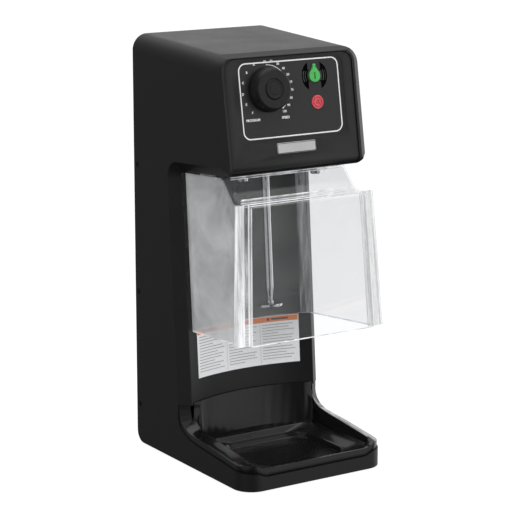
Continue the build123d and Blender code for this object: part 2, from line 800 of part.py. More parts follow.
with BuildPart() as motor_mount_plate:
    with BuildSketch(SPINDLE.offset(PLATE_UP)):
        RectangleRounded(112, 78, 8)
        Circle(16, mode=Mode.SUBTRACT)
        with GridLocations(*ISOLATOR_GRID):
            Circle(MOUNT_HOLE_R, mode=Mode.SUBTRACT)
        with GridLocations(*BOLT_GRID):
            Circle(BOLT_HOLE_R, mode=Mode.SUBTRACT)
    extrude(amount=PLATE_SHEET)
save(motor_mount_plate.part, "motor_mount_plate")

with BuildPart() as motor_mount_screws:
    with BuildSketch(SPINDLE.offset(BRACKET_UP)):
        with GridLocations(*ISOLATOR_GRID):
            Circle(4.0)
    extrude(amount=2.6)
    with BuildSketch(SPINDLE.offset(346.0)):
        with GridLocations(*ISOLATOR_GRID):
            Circle(2.0)
    extrude(amount=8.2)
save(motor_mount_screws.part, "motor_mount_screws")

with BuildPart() as lower_end_bracket:
    with BuildSketch(SPINDLE.offset(BRACKET_UP)):
        RectangleRounded(72, 68, 10)
        Circle(BEARING_SEAT_R, mode=Mode.SUBTRACT)
        with GridLocations(*BOLT_GRID):
            Circle(BOLT_HOLE_R, mode=Mode.SUBTRACT)
    extrude(amount=7.5)
    # four posts up to the stack
    with BuildSketch(SPINDLE.offset(361)):
        with GridLocations(*BOLT_GRID):
            Circle(POST_R)
            Circle(BOLT_HOLE_R, mode=Mode.SUBTRACT)
    extrude(amount=15.9)
    # windows between bearing boss and rim
    with BuildSketch(SPINDLE.offset(353)):
        with PolarLocations(23, 4, start_angle=0):
            RectangleRounded(9, 22, 3)
    extrude(amount=10, mode=Mode.SUBTRACT)
save(lower_end_bracket.part, "lower_end_bracket")


def bearing(bottom):
    """Ball bearing about the spindle, its end faces recessed between the rings."""
    top = bottom + 7.0
    bore, inner_ring, outer_ring, rim, recess = 4.06, 6.0, 9.0, 11.0, 0.7
    return revolved(SPINDLE, [
        (inner_ring, bottom), (inner_ring, bottom + recess),
        (outer_ring, bottom + recess), (outer_ring, bottom),
        (rim, bottom), (rim, top),
        (outer_ring, top), (outer_ring, top - recess),
        (inner_ring, top - recess), (inner_ring, top),
        (bore, top), (bore, bottom),
    ])


save(bearing(354.3), "lower_bearing")
save(bearing(441.3), "upper_bearing")

with BuildPart() as stator_core:
    with BuildSketch(SPINDLE.offset(CORE_UP)):
        RectangleRounded(76, 72, 12)
        Circle(22.9, mode=Mode.SUBTRACT)
        with GridLocations(*BOLT_GRID):
            Circle(BOLT_HOLE_R, mode=Mode.SUBTRACT)
        # winding windows
        with Locations((-23, 0), (23, 0)):
            RectangleRounded(14, 40, 3, mode=Mode.SUBTRACT)
    extrude(amount=CORE_HEIGHT)
save(stator_core.part, "stator_core")

with BuildPart() as field_windings:
    with BuildSketch(SPINDLE.offset(371.5)):
        with Locations((-26.4, 0), (26.4, 0)):
            RectangleRounded(6.0, 38, 2.5)
    extrude(amount=47)
save(field_windings.part, "field_windings")

with BuildPart() as upper_end_bracket:
    with BuildSketch(SPINDLE.offset(UPPER_UP)):
        RectangleRounded(72, 30, 8)
        Circle(BEARING_SEAT_R, mode=Mode.SUBTRACT)
    extrude(amount=UPPER_THICK)
    # four posts down to the stack
    with BuildSketch(SPINDLE.offset(CORE_TOP + 0.1)):
        with GridLocations(*BOLT_GRID):
            Circle(POST_R)
    extrude(amount=29)
    # arms that join the posts to the bridge
    with BuildSketch(SPINDLE.offset(UPPER_UP)):
        with GridLocations(*BOLT_GRID):
            Circle(POST_R)
        with Locations((-30, 0), (30, 0)):
            Rectangle(10, 56)
    extrude(amount=UPPER_THICK)
    with BuildSketch(SPINDLE.offset(412)):
        with GridLocations(*BOLT_GRID):
            Circle(BOLT_HOLE_R)
    extrude(amount=40, mode=Mode.SUBTRACT)
save(upper_end_bracket.part, "upper_end_bracket")

with BuildPart() as motor_through_bolts:
    # hexagonal head, shank, nut
    with BuildSketch(SPINDLE.offset(349.2)):
        with GridLocations(*BOLT_GRID):
            RegularPolygon(4.0, 6)
    extrude(amount=2.2)
    with BuildSketch(SPINDLE.offset(350.5)):
        with GridLocations(*BOLT_GRID):
            Circle(2.0)
    extrude(amount=101)
    with BuildSketch(SPINDLE.offset(UPPER_UP + UPPER_THICK + 0.1)):
        with GridLocations(*BOLT_GRID):
            RegularPolygon(3.6, 6)
    extrude(amount=3)
save(motor_through_bolts.part, "motor_through_bolts")

with BuildPart() as brush_holders:
    for side in (-1, 1):
        with BuildSketch(SPINDLE.offset(426)):
            with Locations((side * 24, 0)):
                Rectangle(20, 9)
        extrude(amount=11)
        with BuildSketch(SPINDLE.offset(428.4)):
            with Locations((side * 22, 0)):
                Rectangle(30, 5.4)
        extrude(amount=6.2, mode=Mode.SUBTRACT)
save(brush_holders.part, "brush_holders")

with BuildPart() as carbon_brushes:
    with BuildSketch(SPINDLE.offset(428.5)):
        with Locations((-21.2, 0), (21.2, 0)):
            Rectangle(17.8, 5.2)
    extrude(amount=6.0)
save(carbon_brushes.part, "carbon_brushes")

# ------------------------------------------------------------------ turning parts
SLOTS, SLOT_AT_R = 12, 17.0     # armature slots

with BuildPart() as armature_core:
    with BuildSketch(SPINDLE.offset(CORE_UP)):
        Circle(22.3)
        Circle(SHAFT_BORE_R, mode=Mode.SUBTRACT)
        with PolarLocations(SLOT_AT_R, SLOTS):
            RectangleRounded(6.4, 3.4, 1.2, mode=Mode.SUBTRACT)
        # slot mouths
        with PolarLocations(21.6, SLOTS):
            Rectangle(4, 1.4, mode=Mode.SUBTRACT)
    extrude(amount=CORE_HEIGHT)
save(armature_core.part, "armature_core")

with BuildPart() as armature_windings:
    # winding heads below and above the stack, then the runs through the slots
    for head_up, height in ((372.5, 4.4), (CORE_TOP + 0.1, 7.5)):
        with BuildSketch(SPINDLE.offset(head_up)):
            Circle(20)
            Circle(SHAFT_BORE_R, mode=Mode.SUBTRACT)
        extrude(amount=height)
    with BuildSketch(SPINDLE.offset(CORE_UP - 0.5)):
        with PolarLocations(SLOT_AT_R, SLOTS):
            RectangleRounded(6.2, 3.2, 1.1)
    extrude(amount=CORE_HEIGHT + 1)
save(armature_windings.part, "armature_windings")

with BuildPart() as commutator:
    with BuildSketch(SPINDLE.offset(422)):
        Circle(12.1)
        Circle(SHAFT_BORE_R, mode=Mode.SUBTRACT)
        with PolarLocations(11.7, 24):
            Rectangle(1.6, 0.6, mode=Mode.SUBTRACT)
    extrude(amount=16)
save(commutator.part, "commutator")

with BuildPart() as cooling_fan:
    blade_up, blade_height = 363.9, 6.2
    with BuildSketch(SPINDLE.offset(362.6)):
        Circle(22.5)
        Circle(SHAFT_BORE_R, mode=Mode.SUBTRACT)
    extrude(amount=1.4)
    # nine skewed blades, then the hub
    with BuildSketch(SPINDLE.offset(blade_up)):
        with PolarLocations(15.5, 9):
            with Locations(Location((0, 0, 0), (0, 0, 28))):
                Rectangle(12, 1.4)
    extrude(amount=blade_height)
    with BuildSketch(SPINDLE.offset(blade_up)):
        Circle(8)
        Circle(SHAFT_BORE_R, mode=Mode.SUBTRACT)
    extrude(amount=blade_height)
save(cooling_fan.part, "cooling_fan")

# pieces turned about the spindle's line: (radius, height along it)
SPINDLE_PIECES = {
    "armature_shaft": [
        (0, 344.0), (3.6, 344.0), (4.0, 344.6), (4.0, 450.0), (3.5, 450.5), (0, 450.5),
    ],
    # joins the spindle to the armature shaft, inside the underside hole
    "spindle_coupling": [
        (4.82, 337.4), (7.0, 337.4), (8.0, 338.6), (8.0, 352.9), (7.2, 353.7), (4.04, 353.7),
        (4.04, 343.9), (4.82, 343.9),
    ],
    "spindle_shaft": [
        (0, 184.2), (2.9, 184.2), (3.4, 190.0), (4.4, 197.0), (SPINDLE_R, 199.6),
        (SPINDLE_R, 343.0), (4.3, 343.7), (0, 343.7),
    ],
    "agitator": [
        (0, 176.6), (8.0, 176.6), (10.5, 177.4), (13.2, 177.4), (AGITATOR_R, 178.2),
        (AGITATOR_R, 180.4), (13.6, 181.0), (11.8, 180.6), (9.6, 180.2), (6.0, 180.6),
        (4.2, 181.6), (3.9, 184.0), (0, 184.0),
    ],
    # lip seal around the coupling
    "spindle_seal": [
        (8.25, 339.9), (10.5, 338.8), (14.6, 338.8), (14.6, 341.8), (11.8, 341.8),
        (11.8, 345.3), (14.0, 345.3), (14.0, 346.6), (10.6, 346.6), (10.2, 341.0),
        (8.3, 340.6),
    ],
}
for name, outline in SPINDLE_PIECES.items():
    save(revolved(SPINDLE, outline), name)

# ------------------------------------------------------------------ splash shield
SHEET = 2.5                     # clear sheet
SHIELD_TOP = 339.5
SHIELD_BOTTOM = 153.0
SHIELD_LEDGE = 312.0            # the front steps back above this height
SHIELD_HALF = 84.5              # at the top and along the rear
SHIELD_HALF_LOW = 91.0          # at the bottom of the front
TUB_FRONT = 238.5               # out of the tub's front edges
COVER_OUT = 241.2               # out of the front cover's rear face
SHIELD_R = BAY_R - 3.0          # rear sheet's outer radius, concentric with the bay wall
SHIELD_CENTRE = BAY_OUT + BAY_R  # centre of both arcs


def shield_outline(inset, half_front, front_out, corner):
    """Plan outline square to the spindle: concave rear, flat sides and front."""
    radius = SHIELD_R - inset
    half_rear = SHIELD_HALF - inset
    half_front = half_front - inset
    side_out = SHIELD_CENTRE - sqrt(radius * radius - half_rear * half_rear)
    left, right = (-half_rear, -side_out), (half_rear, -side_out)
    with BuildSketch() as plan:
        with BuildLine():
            ThreePointArc(left, (0, -(SHIELD_CENTRE - radius)), right)
            Polyline(right, (half_front, -front_out), (-half_front, -front_out), left)
        make_face()
        if corner:
            fillet([p for p in plan.vertices() if p.Y < -(front_out - 5)], corner)
        fillet([p for p in plan.vertices() if p.Y > -(side_out + 5)], 9 - inset)
    return plan.sketch


def shield_loft(low, high):
    """Ruled body between two (height, outline) sections in the bay frame."""
    with BuildPart() as body:
        for height, outline in (low, high):
            with BuildSketch(BAY.offset(height)):
                add(outline)
        loft(ruled=True)
    return body.part


with BuildPart() as shield_tub:
    # outside, below and above the ledge
    add(shield_loft(
        (SHIELD_BOTTOM, shield_outline(0, SHIELD_HALF_LOW, TUB_FRONT, 0)),
        (SHIELD_LEDGE, shield_outline(0, SHIELD_HALF, TUB_FRONT, 0)),
    ))
    add(shield_loft(
        (SHIELD_LEDGE, shield_outline(0, SHIELD_HALF, 227.0, 9)),
        (SHIELD_TOP, shield_outline(0, SHIELD_HALF, 205.0, 9)),
    ))
    # inside, open to the front below the ledge
    add(shield_loft(
        (SHIELD_BOTTOM - 1, shield_outline(SHEET, SHIELD_HALF_LOW, 250.0, 0)),
        (SHIELD_LEDGE - SHEET, shield_outline(SHEET, SHIELD_HALF, 250.0, 0)),
    ), mode=Mode.SUBTRACT)
    add(shield_loft(
        (SHIELD_LEDGE - SHEET, shield_outline(SHEET, SHIELD_HALF, 227.0 - SHEET + 2, 7)),
        (SHIELD_TOP - SHEET, shield_outline(SHEET, SHIELD_HALF, 207.0 - SHEET, 7)),
    ), mode=Mode.SUBTRACT)
    # outward flanges down both front edges
    with BuildSketch(bay_facing_front(TUB_FRONT)):
        for side in (-1, 1):
            with BuildLine():
                Polyline(
                    (side * 82.2, SHIELD_LEDGE), (side * 91.6, SHIELD_LEDGE),
                    (side * 100.4, SHIELD_BOTTOM), (side * 88.4, SHIELD_BOTTOM), close=True,
                )
            make_face()
    extrude(amount=SHEET)
    # opening in the top sheet around the spindle, and keyhole slots for the studs
    with BuildSketch(BAY.offset(SHIELD_TOP + 1)):
        with Locations((0, -SPINDLE_OUT)):
            Circle(42)
        slide = 14
        for x, y in SHIELD_STUDS:
            with Locations((x, y)):
                Circle(3.9)
            with Locations((x, y + slide / 2)):
                Rectangle(7.8, slide)
            with Locations((x, y + slide)):
                Circle(7.0)
    extrude(amount=-(SHEET + 2), mode=Mode.SUBTRACT)
save(shield_tub.part, "shield_tub")

# looked at along +X: local x is out, local y is up along the spindle
BAY_SIDE = Plane(origin=(0, BACK, 0), x_dir=BAY.y_dir * -1, z_dir=(-1, 0, 0))
# raised face of the front cover, and the hollow behind it: (out, up)
FACE_PROFILE = [
    (228.2, 312.2), (228.2, 315.4), (230.2, 316.6), (244.0, 315.2), (247.6, 313.2),
    (249.5, 309.0), (249.5, SHIELD_BOTTOM), (COVER_OUT, SHIELD_BOTTOM), (COVER_OUT, 312.2),
]
PAN_PROFILE = [
    (240.0, SHIELD_BOTTOM - 1), (247.0, SHIELD_BOTTOM - 1), (247.0, 308.2),
    (245.8, 310.8), (243.4, 312.0), (240.0, 312.1),
]

with BuildPart() as shield_front:
    with BuildSketch(BAY_SIDE):
        with BuildLine():
            Polyline(*FACE_PROFILE, close=True)
        make_face()
    extrude(amount=110, both=True)
    with BuildSketch(bay_facing_front(225)):
        with BuildLine():
            Polyline(
                (-84.2, SHIELD_BOTTOM), (84.2, SHIELD_BOTTOM), (77.8, 312), (77.6, 320),
                (-77.6, 320), (-77.8, 312), close=True,
            )
        make_face()
        fillet([p for p in vertices() if p.Y > 300 and abs(p.X) < 77.7], 1.5)
    extrude(amount=30, mode=Mode.INTERSECT)
    # hollow behind the raised face
    with BuildPart(mode=Mode.PRIVATE) as pan:
        with BuildSketch(BAY_SIDE):
            with BuildLine():
                Polyline(*PAN_PROFILE, close=True)
            make_face()
        extrude(amount=110, both=True)
        with BuildSketch(bay_facing_front(225)):
            with BuildLine():
                Polyline(
                    (-81.8, SHIELD_BOTTOM - 2), (81.8, SHIELD_BOTTOM - 2), (75.2, 320),
                    (-75.2, 320), close=True,
                )
            make_face()
        extrude(amount=30, mode=Mode.INTERSECT)
    add(pan.part, mode=Mode.SUBTRACT)
    # side flanges that lie on the tub's flanges
    with BuildSketch(bay_facing_front(COVER_OUT)):
        for side in (-1, 1):
            with BuildLine():
                Polyline(
                    (side * 76.6, 312.2), (side * 92.5, 312.2),
                    (side * 101.0, SHIELD_BOTTOM), (side * 83.0, SHIELD_BOTTOM), close=True,
                )
            make_face()
    extrude(amount=SHEET)
save(shield_front.part, "shield_front")

with BuildPart() as shield_hanger_studs:
    for stud in SHIELD_STUDS:
        # chamfered button, neck, threaded end
        with BuildSketch(BAY.offset(331.4)):
            with Locations(stud):
                Circle(6)
        extrude(amount=4.9)
        chamfer(shield_hanger_studs.edges(Select.LAST).filter_by(GeomType.CIRCLE), 0.9)
        with BuildSketch(BAY.offset(336)):
            with Locations(stud):
                Circle(3.5)
        extrude(amount=5.9)
        with BuildSketch(BAY.offset(341.8)):
            with Locations(stud):
                Circle(2.5)
        extrude(amount=9.0)
save(shield_hanger_studs.part, "shield_hanger_studs")

with BuildPart() as hanger_nuts:
    with BuildSketch(BAY.offset(UNDER_UP + WALL + 0.1)):
        with Locations(*SHIELD_STUDS):
            RegularPolygon(4.6, 6)
            Circle(2.56, mode=Mode.SUBTRACT)
    extrude(amount=3.8)
save(hanger_nuts.part, "hanger_nuts")

# ------------------------------------------------------------------ caution placard
# thin sheet curved to the bay wall
with BuildPart() as caution_placard:
    add(bay_cylinder(BAY_R - 0.04, (92.6, 151.5), 72, 125))
    add(bay_cylinder(BAY_R - 0.34, (92.0, 152.5), 73, 125), mode=Mode.SUBTRACT)
save(caution_placard.part.solids().sort_by(Axis.Y)[-1], "caution_placard")

# ------------------------------------------------------------------ drip tray
TRAY_HALF = 97.0
TRAY_FRONT = 243.6      # depth
TRAY_Z = 10.35          # underside
RIM_HALF = 95.1         # inside of the foot's walls, with clearance
DISH_HALF = 83.8        # upper hollow between the side flanges
DISH_FRONT = 240.8      # depth
DISH_CORNER = 19
DISH_Z = 27             # where the shoulders meet the upper hollow


def plan_prism(half, depth_span, radius, z_span):
    """Block between two depths with rounded front corners in plan."""
    back, front = depth_span
    with BuildPart() as block:
        with BuildSketch(Plane.XY.offset(z_span[0])):
            with Locations((0, y_at(front) + 150)):
                RectangleRounded(2 * half, 300, radius)
            with Locations((0, (y_at(back) + y_at(front)) / 2)):
                Rectangle(2 * half, front - back, mode=Mode.INTERSECT)
        extrude(amount=z_span[1] - z_span[0])
    return block.part


# what the foot's own walls take up, with clearance
with BuildPart() as rim_zone:
    lift = 0.3
    wing_depth, wing_z = FOOT_LINE[0]
    foot_top = [*FOOT_LINE, (260, FOOT_LINE[-1][1])]
    with BuildSketch(Plane.YZ):
        with BuildLine():
            Polyline(
                (y_at(260), 0),
                *[(y_at(depth), z + lift) for depth, z in reversed(foot_top)],
                (y_at(wing_depth), wing_z + lift + 20),
                (y_at(80), wing_z + lift + 20),
                (y_at(80), 0),
                close=True,
            )
        make_face()
    extrude(amount=120, both=True)
    add(plan_prism(RIM_HALF, (0, 241.6), 20.6, (-5, 200)), mode=Mode.SUBTRACT)
    add(front_dip(18.35, 26.35, 65.6, (222.3, 270)), mode=Mode.SUBTRACT)
    for side in (1, -1):
        add(depth_box((side * RIM_HALF, side * 120), (60, 99.3), (0, 120)))

with BuildPart() as drip_tray:
    with BuildSketch(Plane.YZ):
        with BuildLine():
            Polyline(
                (y_at(80), TRAY_Z), (y_at(TRAY_FRONT), TRAY_Z), (y_at(TRAY_FRONT), 33.3),
                *reversed(side_line(FLANGE_INNER[:-1])), (y_at(80), 74.5), close=True,
            )
        make_face()
    extrude(amount=TRAY_HALF, both=True)
    add(plan_prism(TRAY_HALF, (60, TRAY_FRONT), 22.4, (0, 120)), mode=Mode.INTERSECT)
    for side in (-1, 1):
        add(above_flange(side), mode=Mode.SUBTRACT)
    # back follows the concave bay wall; the flanges start in front of the casing's own
    with BuildPart(mode=Mode.PRIVATE) as behind:
        add(depth_box((-120, 120), (60, FLANGE_SPLIT + 0.4), (0, 120)))
        add(bay_cylinder(BAY_R - 0.45, (-40, 140), 86.2, 125), mode=Mode.SUBTRACT)
    add(behind.part, mode=Mode.SUBTRACT)
    add(rim_zone.part, mode=Mode.SUBTRACT)
    # the same zone again, 1.3 further back, leaves room to slide the tray forwards
    add(rim_zone.part.moved(Location((0, 1.3, 0))), mode=Mode.SUBTRACT)
    # upper hollow between the side flanges
    with BuildPart(mode=Mode.PRIVATE) as upper:
        add(plan_prism(DISH_HALF, (60, DISH_FRONT), DISH_CORNER, (26.9, 130)))
        with BuildPart(mode=Mode.PRIVATE) as front_of_back:
            add(bay_cylinder(BAY_R - 3.6, (-40, 200), 100, 125))
            add(depth_box((-120, 120), (116, 260), (0, 200)))
        add(front_of_back.part, mode=Mode.INTERSECT)
    add(upper.part, mode=Mode.SUBTRACT)
    # shoulders falling to the basin
    with BuildSketch(Plane.XY.offset(20.5)):
        with Locations((0, y_at(174))):
            RectangleRounded(124, 104, 26)
    with BuildSketch(Plane.XY.offset(DISH_Z)):
        with Locations((0, y_at((116 + DISH_FRONT) / 2))):
            RectangleRounded(2 * DISH_HALF, DISH_FRONT - 116, DISH_CORNER)
    loft(ruled=True, mode=Mode.SUBTRACT)
    # basin
    with BuildPart(mode=Mode.PRIVATE) as basin:
        for z, width, length, corner in ((14, 116, 98, 23), (20.7, 121, 103, 25)):
            with BuildSketch(Plane.XY.offset(z)):
                with Locations((0, y_at(174))):
                    RectangleRounded(width, length, corner)
        loft(ruled=True)
        fillet(basin.faces().sort_by(Axis.Z)[0].edges(), 3)
    add(basin.part, mode=Mode.SUBTRACT)
    # dipped front lip
    add(front_dip(27.5, 36.0, 68.0, (226, 260)), mode=Mode.SUBTRACT)
    # relief under the shoulders
    with BuildPart(mode=Mode.PRIVATE) as relief:
        add(plan_prism(92, (118, 238.4), 17, (5, 17)))
        add(plan_prism(65, (60, 231.6), 14, (0, 40)), mode=Mode.SUBTRACT)
    add(relief.part, mode=Mode.SUBTRACT)
save(drip_tray.part, "drip_tray")

# ------------------------------------------------------------------ electronics in the spine
POWER_Z = 260           # middle of the power board

with BuildPart() as board_standoffs:
    with BuildSketch(facing_front(2.95, POWER_Z)):
        with GridLocations(80, 110, 2, 2):
            Circle(3.5)
    extrude(amount=10)
save(board_standoffs.part, "board_standoffs")

with BuildPart() as power_board:
    with BuildSketch(facing_front(13.0, POWER_Z)):
        RectangleRounded(92, 124, 2)
    extrude(amount=1.6)
save(power_board.part, "power_board")

# the second column is the height above the counter
POWER_COMPONENTS = [
    (-26, 300, 30, 26, 24),
    (14, 304, 18, 18, 16),
    (-28, 262, 22, 22, 20),
    (-26, 222, 26, 20, 14),
    (8, 216, 14, 20, 18),
]
save(components(facing_front(14.65), POWER_COMPONENTS, 2, 1), "power_components")

with BuildPart() as heat_sink:
    # base and six fins
    with BuildSketch(Plane.XY.offset(232)):
        with Locations((28, y_at(17))):
            Rectangle(30, 4.6)
        with Locations((28, y_at(28))):
            with GridLocations(5.2, 1, 6, 1):
                Rectangle(1.8, 20)
    extrude(amount=52)
save(heat_sink.part, "heat_sink")


def strand(points, radius):
    """Round cable along a smooth curve through the points."""
    with BuildPart() as wire:
        with BuildLine() as path:
            Spline(*points)
        with BuildSketch(Plane(origin=path.line @ 0, z_dir=path.line % 0)):
            Circle(radius)
        sweep()
    return wire.part


# cable runs as (x, depth, z), from the power board
HARNESS_RUN = [(34, 18.2, 312), (60, 34, 352), (72, 80, 392), (66, 150, 410)]
LEADS_RUN = [(-2, 18.2, 280), (-20, 40, 335), (-46, 62, 372), (-52, 96, 398), (-41, 116, 409)]
harness_end = PANEL.from_local_coords((54, 58, -17.2))
harness_points = [(x, y_at(depth), z) for x, depth, z in HARNESS_RUN]
harness_points.append((harness_end.X, harness_end.Y, harness_end.Z))
save(strand(harness_points, 2.4), "control_harness")
save(strand([(x, y_at(depth), z) for x, depth, z in LEADS_RUN], 2.2), "motor_leads")

# ------------------------------------------------------------------ cord and plug
CORD_BEND = 14.0
CORD_LIE = 10           # height of the cord's run along the counter

# Z points out of the back; the points are (radius, distance behind the back face)
grommet_axis = Plane(origin=(CORD_X, y_at(0), CORD_Z), x_dir=(1, 0, 0), z_dir=(0, 1, 0))
save(revolved(grommet_axis, [
    (3.85, -6.0), (7.0, -6.0), (9.4, -5.0), (9.4, -3.0), (7.9, -3.0), (7.9, 0.0),
    (10.6, 0.0), (10.6, 2.0), (6.6, 3.2), (5.4, 12.0), (3.85, 12.0),
]), "cord_grommet")

# the cord leaves level, drops behind the foot and turns along the counter into the plug
cord_y = y_at(-CORD_BEHIND)
cord_start = (CORD_X, y_at(14), CORD_Z)
first_bend = (CORD_X, cord_y - CORD_BEND, CORD_Z)
drop_top = (CORD_X, cord_y, CORD_Z - CORD_BEND)
drop_end = (CORD_X, cord_y, CORD_LIE + CORD_BEND)
level_start = (CORD_X - CORD_BEND, cord_y, CORD_LIE)
bend_along = CORD_BEND * sqrt(0.5)      # middle of a bend, along its first leg
bend_across = CORD_BEND - bend_along    # and towards its second
first_middle = (CORD_X, first_bend[1] + bend_along, CORD_Z - bend_across)
second_middle = (CORD_X - bend_across, cord_y, drop_end[2] - bend_along)

with BuildPart() as power_cord:
    with BuildLine():
        Line(cord_start, first_bend)
        ThreePointArc(first_bend, first_middle, drop_top)
        Line(drop_top, drop_end)
        ThreePointArc(drop_end, second_middle, level_start)
        Line(level_start, (-24, cord_y, CORD_LIE))
    with BuildSketch(Plane(origin=cord_start, z_dir=(0, 1, 0))):
        Circle(3.5)
    sweep()
save(power_cord.part, "power_cord")

# Z points along the pins, local Y points down
PLUG = Plane(origin=(-16, cord_y, CORD_LIE), x_dir=(0, 1, 0), z_dir=(-1, 0, 0))
PLUG_HEIGHT = 19.6
BLADES = [(-6.35, 2), (6.35, 2)]
ROUND_PIN = (0, -5.2)

with BuildPart() as plug_body:
    # tapered neck, then the straight body
    with BuildSketch(PLUG.offset(6)):
        RectangleRounded(11, 11, 4)
    with BuildSketch(PLUG.offset(22)):
        RectangleRounded(PLUG_WIDTH, PLUG_HEIGHT, 6)
    loft()
    with BuildSketch(PLUG.offset(22)):
        RectangleRounded(PLUG_WIDTH, PLUG_HEIGHT, 6)
    extrude(amount=14)
    # cord entry and pin sockets
    with BuildSketch(PLUG):
        Circle(3.75)
    extrude(amount=13, mode=Mode.SUBTRACT)
    with BuildSketch(PLUG.offset(30)):
        with Locations(*BLADES):
            Rectangle(1.7, 6.6)
        with Locations(ROUND_PIN):
            Circle(2.5)
    extrude(amount=10, mode=Mode.SUBTRACT)
save(plug_body.part, "plug_body")

with BuildPart() as plug_pins:
    with BuildSketch(PLUG.offset(30.1)):
        with Locations(*BLADES):
            Rectangle(1.5, 6.4)
        with Locations(ROUND_PIN):
            Circle(2.4)
    extrude(amount=23)
save(plug_pins.part, "plug_pins")
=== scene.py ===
"""Bench mixer with a motor housing, a control panel, a drip tray and a clear shield.

This script gives them materials, adds the printed graphics, the painted highlight lines along
the shield's folds and the painted shade and highlights in the start key's dish, and sets the
floor, lights and camera. Places on the control panel and in the bay
behind the shield are in millimetres, in frames of their own.
"""
import math

import bmesh
import bpy
from mathutils import Matrix, Vector


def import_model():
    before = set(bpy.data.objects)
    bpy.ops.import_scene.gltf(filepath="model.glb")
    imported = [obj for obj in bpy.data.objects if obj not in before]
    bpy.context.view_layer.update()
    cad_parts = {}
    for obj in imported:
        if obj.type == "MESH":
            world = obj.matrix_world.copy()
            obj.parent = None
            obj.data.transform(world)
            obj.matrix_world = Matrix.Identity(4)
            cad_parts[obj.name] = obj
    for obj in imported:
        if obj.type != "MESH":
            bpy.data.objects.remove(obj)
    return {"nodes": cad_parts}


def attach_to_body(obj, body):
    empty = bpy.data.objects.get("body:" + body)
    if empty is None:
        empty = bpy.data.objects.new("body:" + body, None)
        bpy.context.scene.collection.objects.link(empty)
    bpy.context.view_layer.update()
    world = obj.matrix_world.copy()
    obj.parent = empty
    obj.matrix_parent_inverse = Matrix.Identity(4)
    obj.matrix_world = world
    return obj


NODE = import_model()["nodes"]
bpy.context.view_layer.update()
scene = bpy.context.scene

MM = 0.001

# Control panel frame: u to the right, v up the panel, n out of it
PANEL_ORIGIN = Vector((0.0, -0.100, 0.370))
PANEL_U = Vector((1.0, 0.0, 0.0))
PANEL_V = Vector((0.0, 0.16333, 0.98657))
PANEL_N = PANEL_U.cross(PANEL_V)

# Bay frame: x to the right, v forward of the back plane, w up along the leaning wall
BAY_BACK = 102.0
LEAN = math.radians(4.2)
LEAN_SIN, LEAN_COS = math.sin(LEAN), math.cos(LEAN)

# Panel centres (u, v) of the speed dial and of the dish round the start button
DIAL = (-30.5, 82.0)
DISH = (34.0, 93.5)

# Height n of the overlay film, and the under side and top of the ink on it
OVERLAY = -1.70
INK = (OVERLAY - 0.02, OVERLAY + 0.045)


def panel(u, v, n):
    return PANEL_ORIGIN + (PANEL_U * u + PANEL_V * v + PANEL_N * n) * MM


def in_panel(point):
    offset = point - PANEL_ORIGIN
    return tuple(offset.dot(axis) * 1000 for axis in (PANEL_U, PANEL_V, PANEL_N))


def bay(x, v, w):
    depth = v * LEAN_COS - w * LEAN_SIN
    return Vector((x, BAY_BACK - depth, v * LEAN_SIN + w * LEAN_COS)) * MM


def in_bay(point):
    depth, z = BAY_BACK - point.y * 1000, point.z * 1000
    return point.x * 1000, depth * LEAN_COS + z * LEAN_SIN, -depth * LEAN_SIN + z * LEAN_COS


def axes_matrix(x_axis, y_axis, z_axis, origin):
    matrix = Matrix((x_axis, y_axis, z_axis)).transposed().to_4x4()
    matrix.translation = origin
    return matrix


# ------------------------------------------------------------------ node trees
class Nodes:
    """An emptied node tree of a material or world."""

    def __init__(self, owner):
        owner.use_nodes = True
        self.tree = owner.node_tree
        self.tree.nodes.clear()

    def add(self, kind, inputs=None, **properties):
        """Add a node; each input takes either a value or a link from a socket."""
        node = self.tree.nodes.new(kind)
        for key, value in properties.items():
            setattr(node, key, value)
        for key, value in (inputs or {}).items():
            if isinstance(value, bpy.types.NodeSocket):
                self.tree.links.new(value, node.inputs[key])
            else:
                node.inputs[key].default_value = value
        return node

    def mix(self, factor, first, second):
        inputs = {0: factor, 1: first.outputs[0], 2: second.outputs[0]}
        return self.add("ShaderNodeMixShader", inputs)


class Look(Nodes):
    """A new material, with helpers that return the output sockets of pattern nodes."""

    def __init__(self, name):
        self.material = bpy.data.materials.new(name)
        super().__init__(self.material)
        self.coords = self.add("ShaderNodeTexCoord").outputs["Object"]

    def surface(self, shader):
        self.add("ShaderNodeOutputMaterial", {"Surface": shader.outputs[0]})
        return self.material

    def principled(self, inputs):
        return self.surface(self.add("ShaderNodeBsdfPrincipled", inputs))

    def noise(self, scale, detail, roughness, stretch=None, distortion=0.0):
        source = self.coords
        if stretch:
            mapping = self.add("ShaderNodeMapping", {"Vector": source, "Scale": stretch})
            source = mapping.outputs[0]
        return self.add("ShaderNodeTexNoise", {
            "Vector": source, "Scale": scale, "Detail": detail,
            "Roughness": roughness, "Distortion": distortion,
        }).outputs["Fac"]

    def ramp(self, factor, dark, light, start=0.3, end=0.7):
        node = self.add("ShaderNodeValToRGB", {"Fac": factor})
        for stop, place, colour in zip(node.color_ramp.elements, (start, end), (dark, light)):
            stop.position = place
            stop.color = (*colour, 1.0)
        return node.outputs["Color"]

    def remap(self, value, low, high, start=0.3, end=0.7):
        """Map start..end of the value to low..high."""
        return self.add("ShaderNodeMapRange", {
            "Value": value, "From Min": start, "From Max": end, "To Min": low, "To Max": high,
        }).outputs[0]

    def math(self, operation, a, b, clamp=False):
        node = self.add("ShaderNodeMath", {0: a, 1: b}, operation=operation, use_clamp=clamp)
        return node.outputs[0]

    def bump(self, height, distance, strength):
        inputs = {"Height": height, "Distance": distance, "Strength": strength}
        return self.add("ShaderNodeBump", inputs).outputs[0]


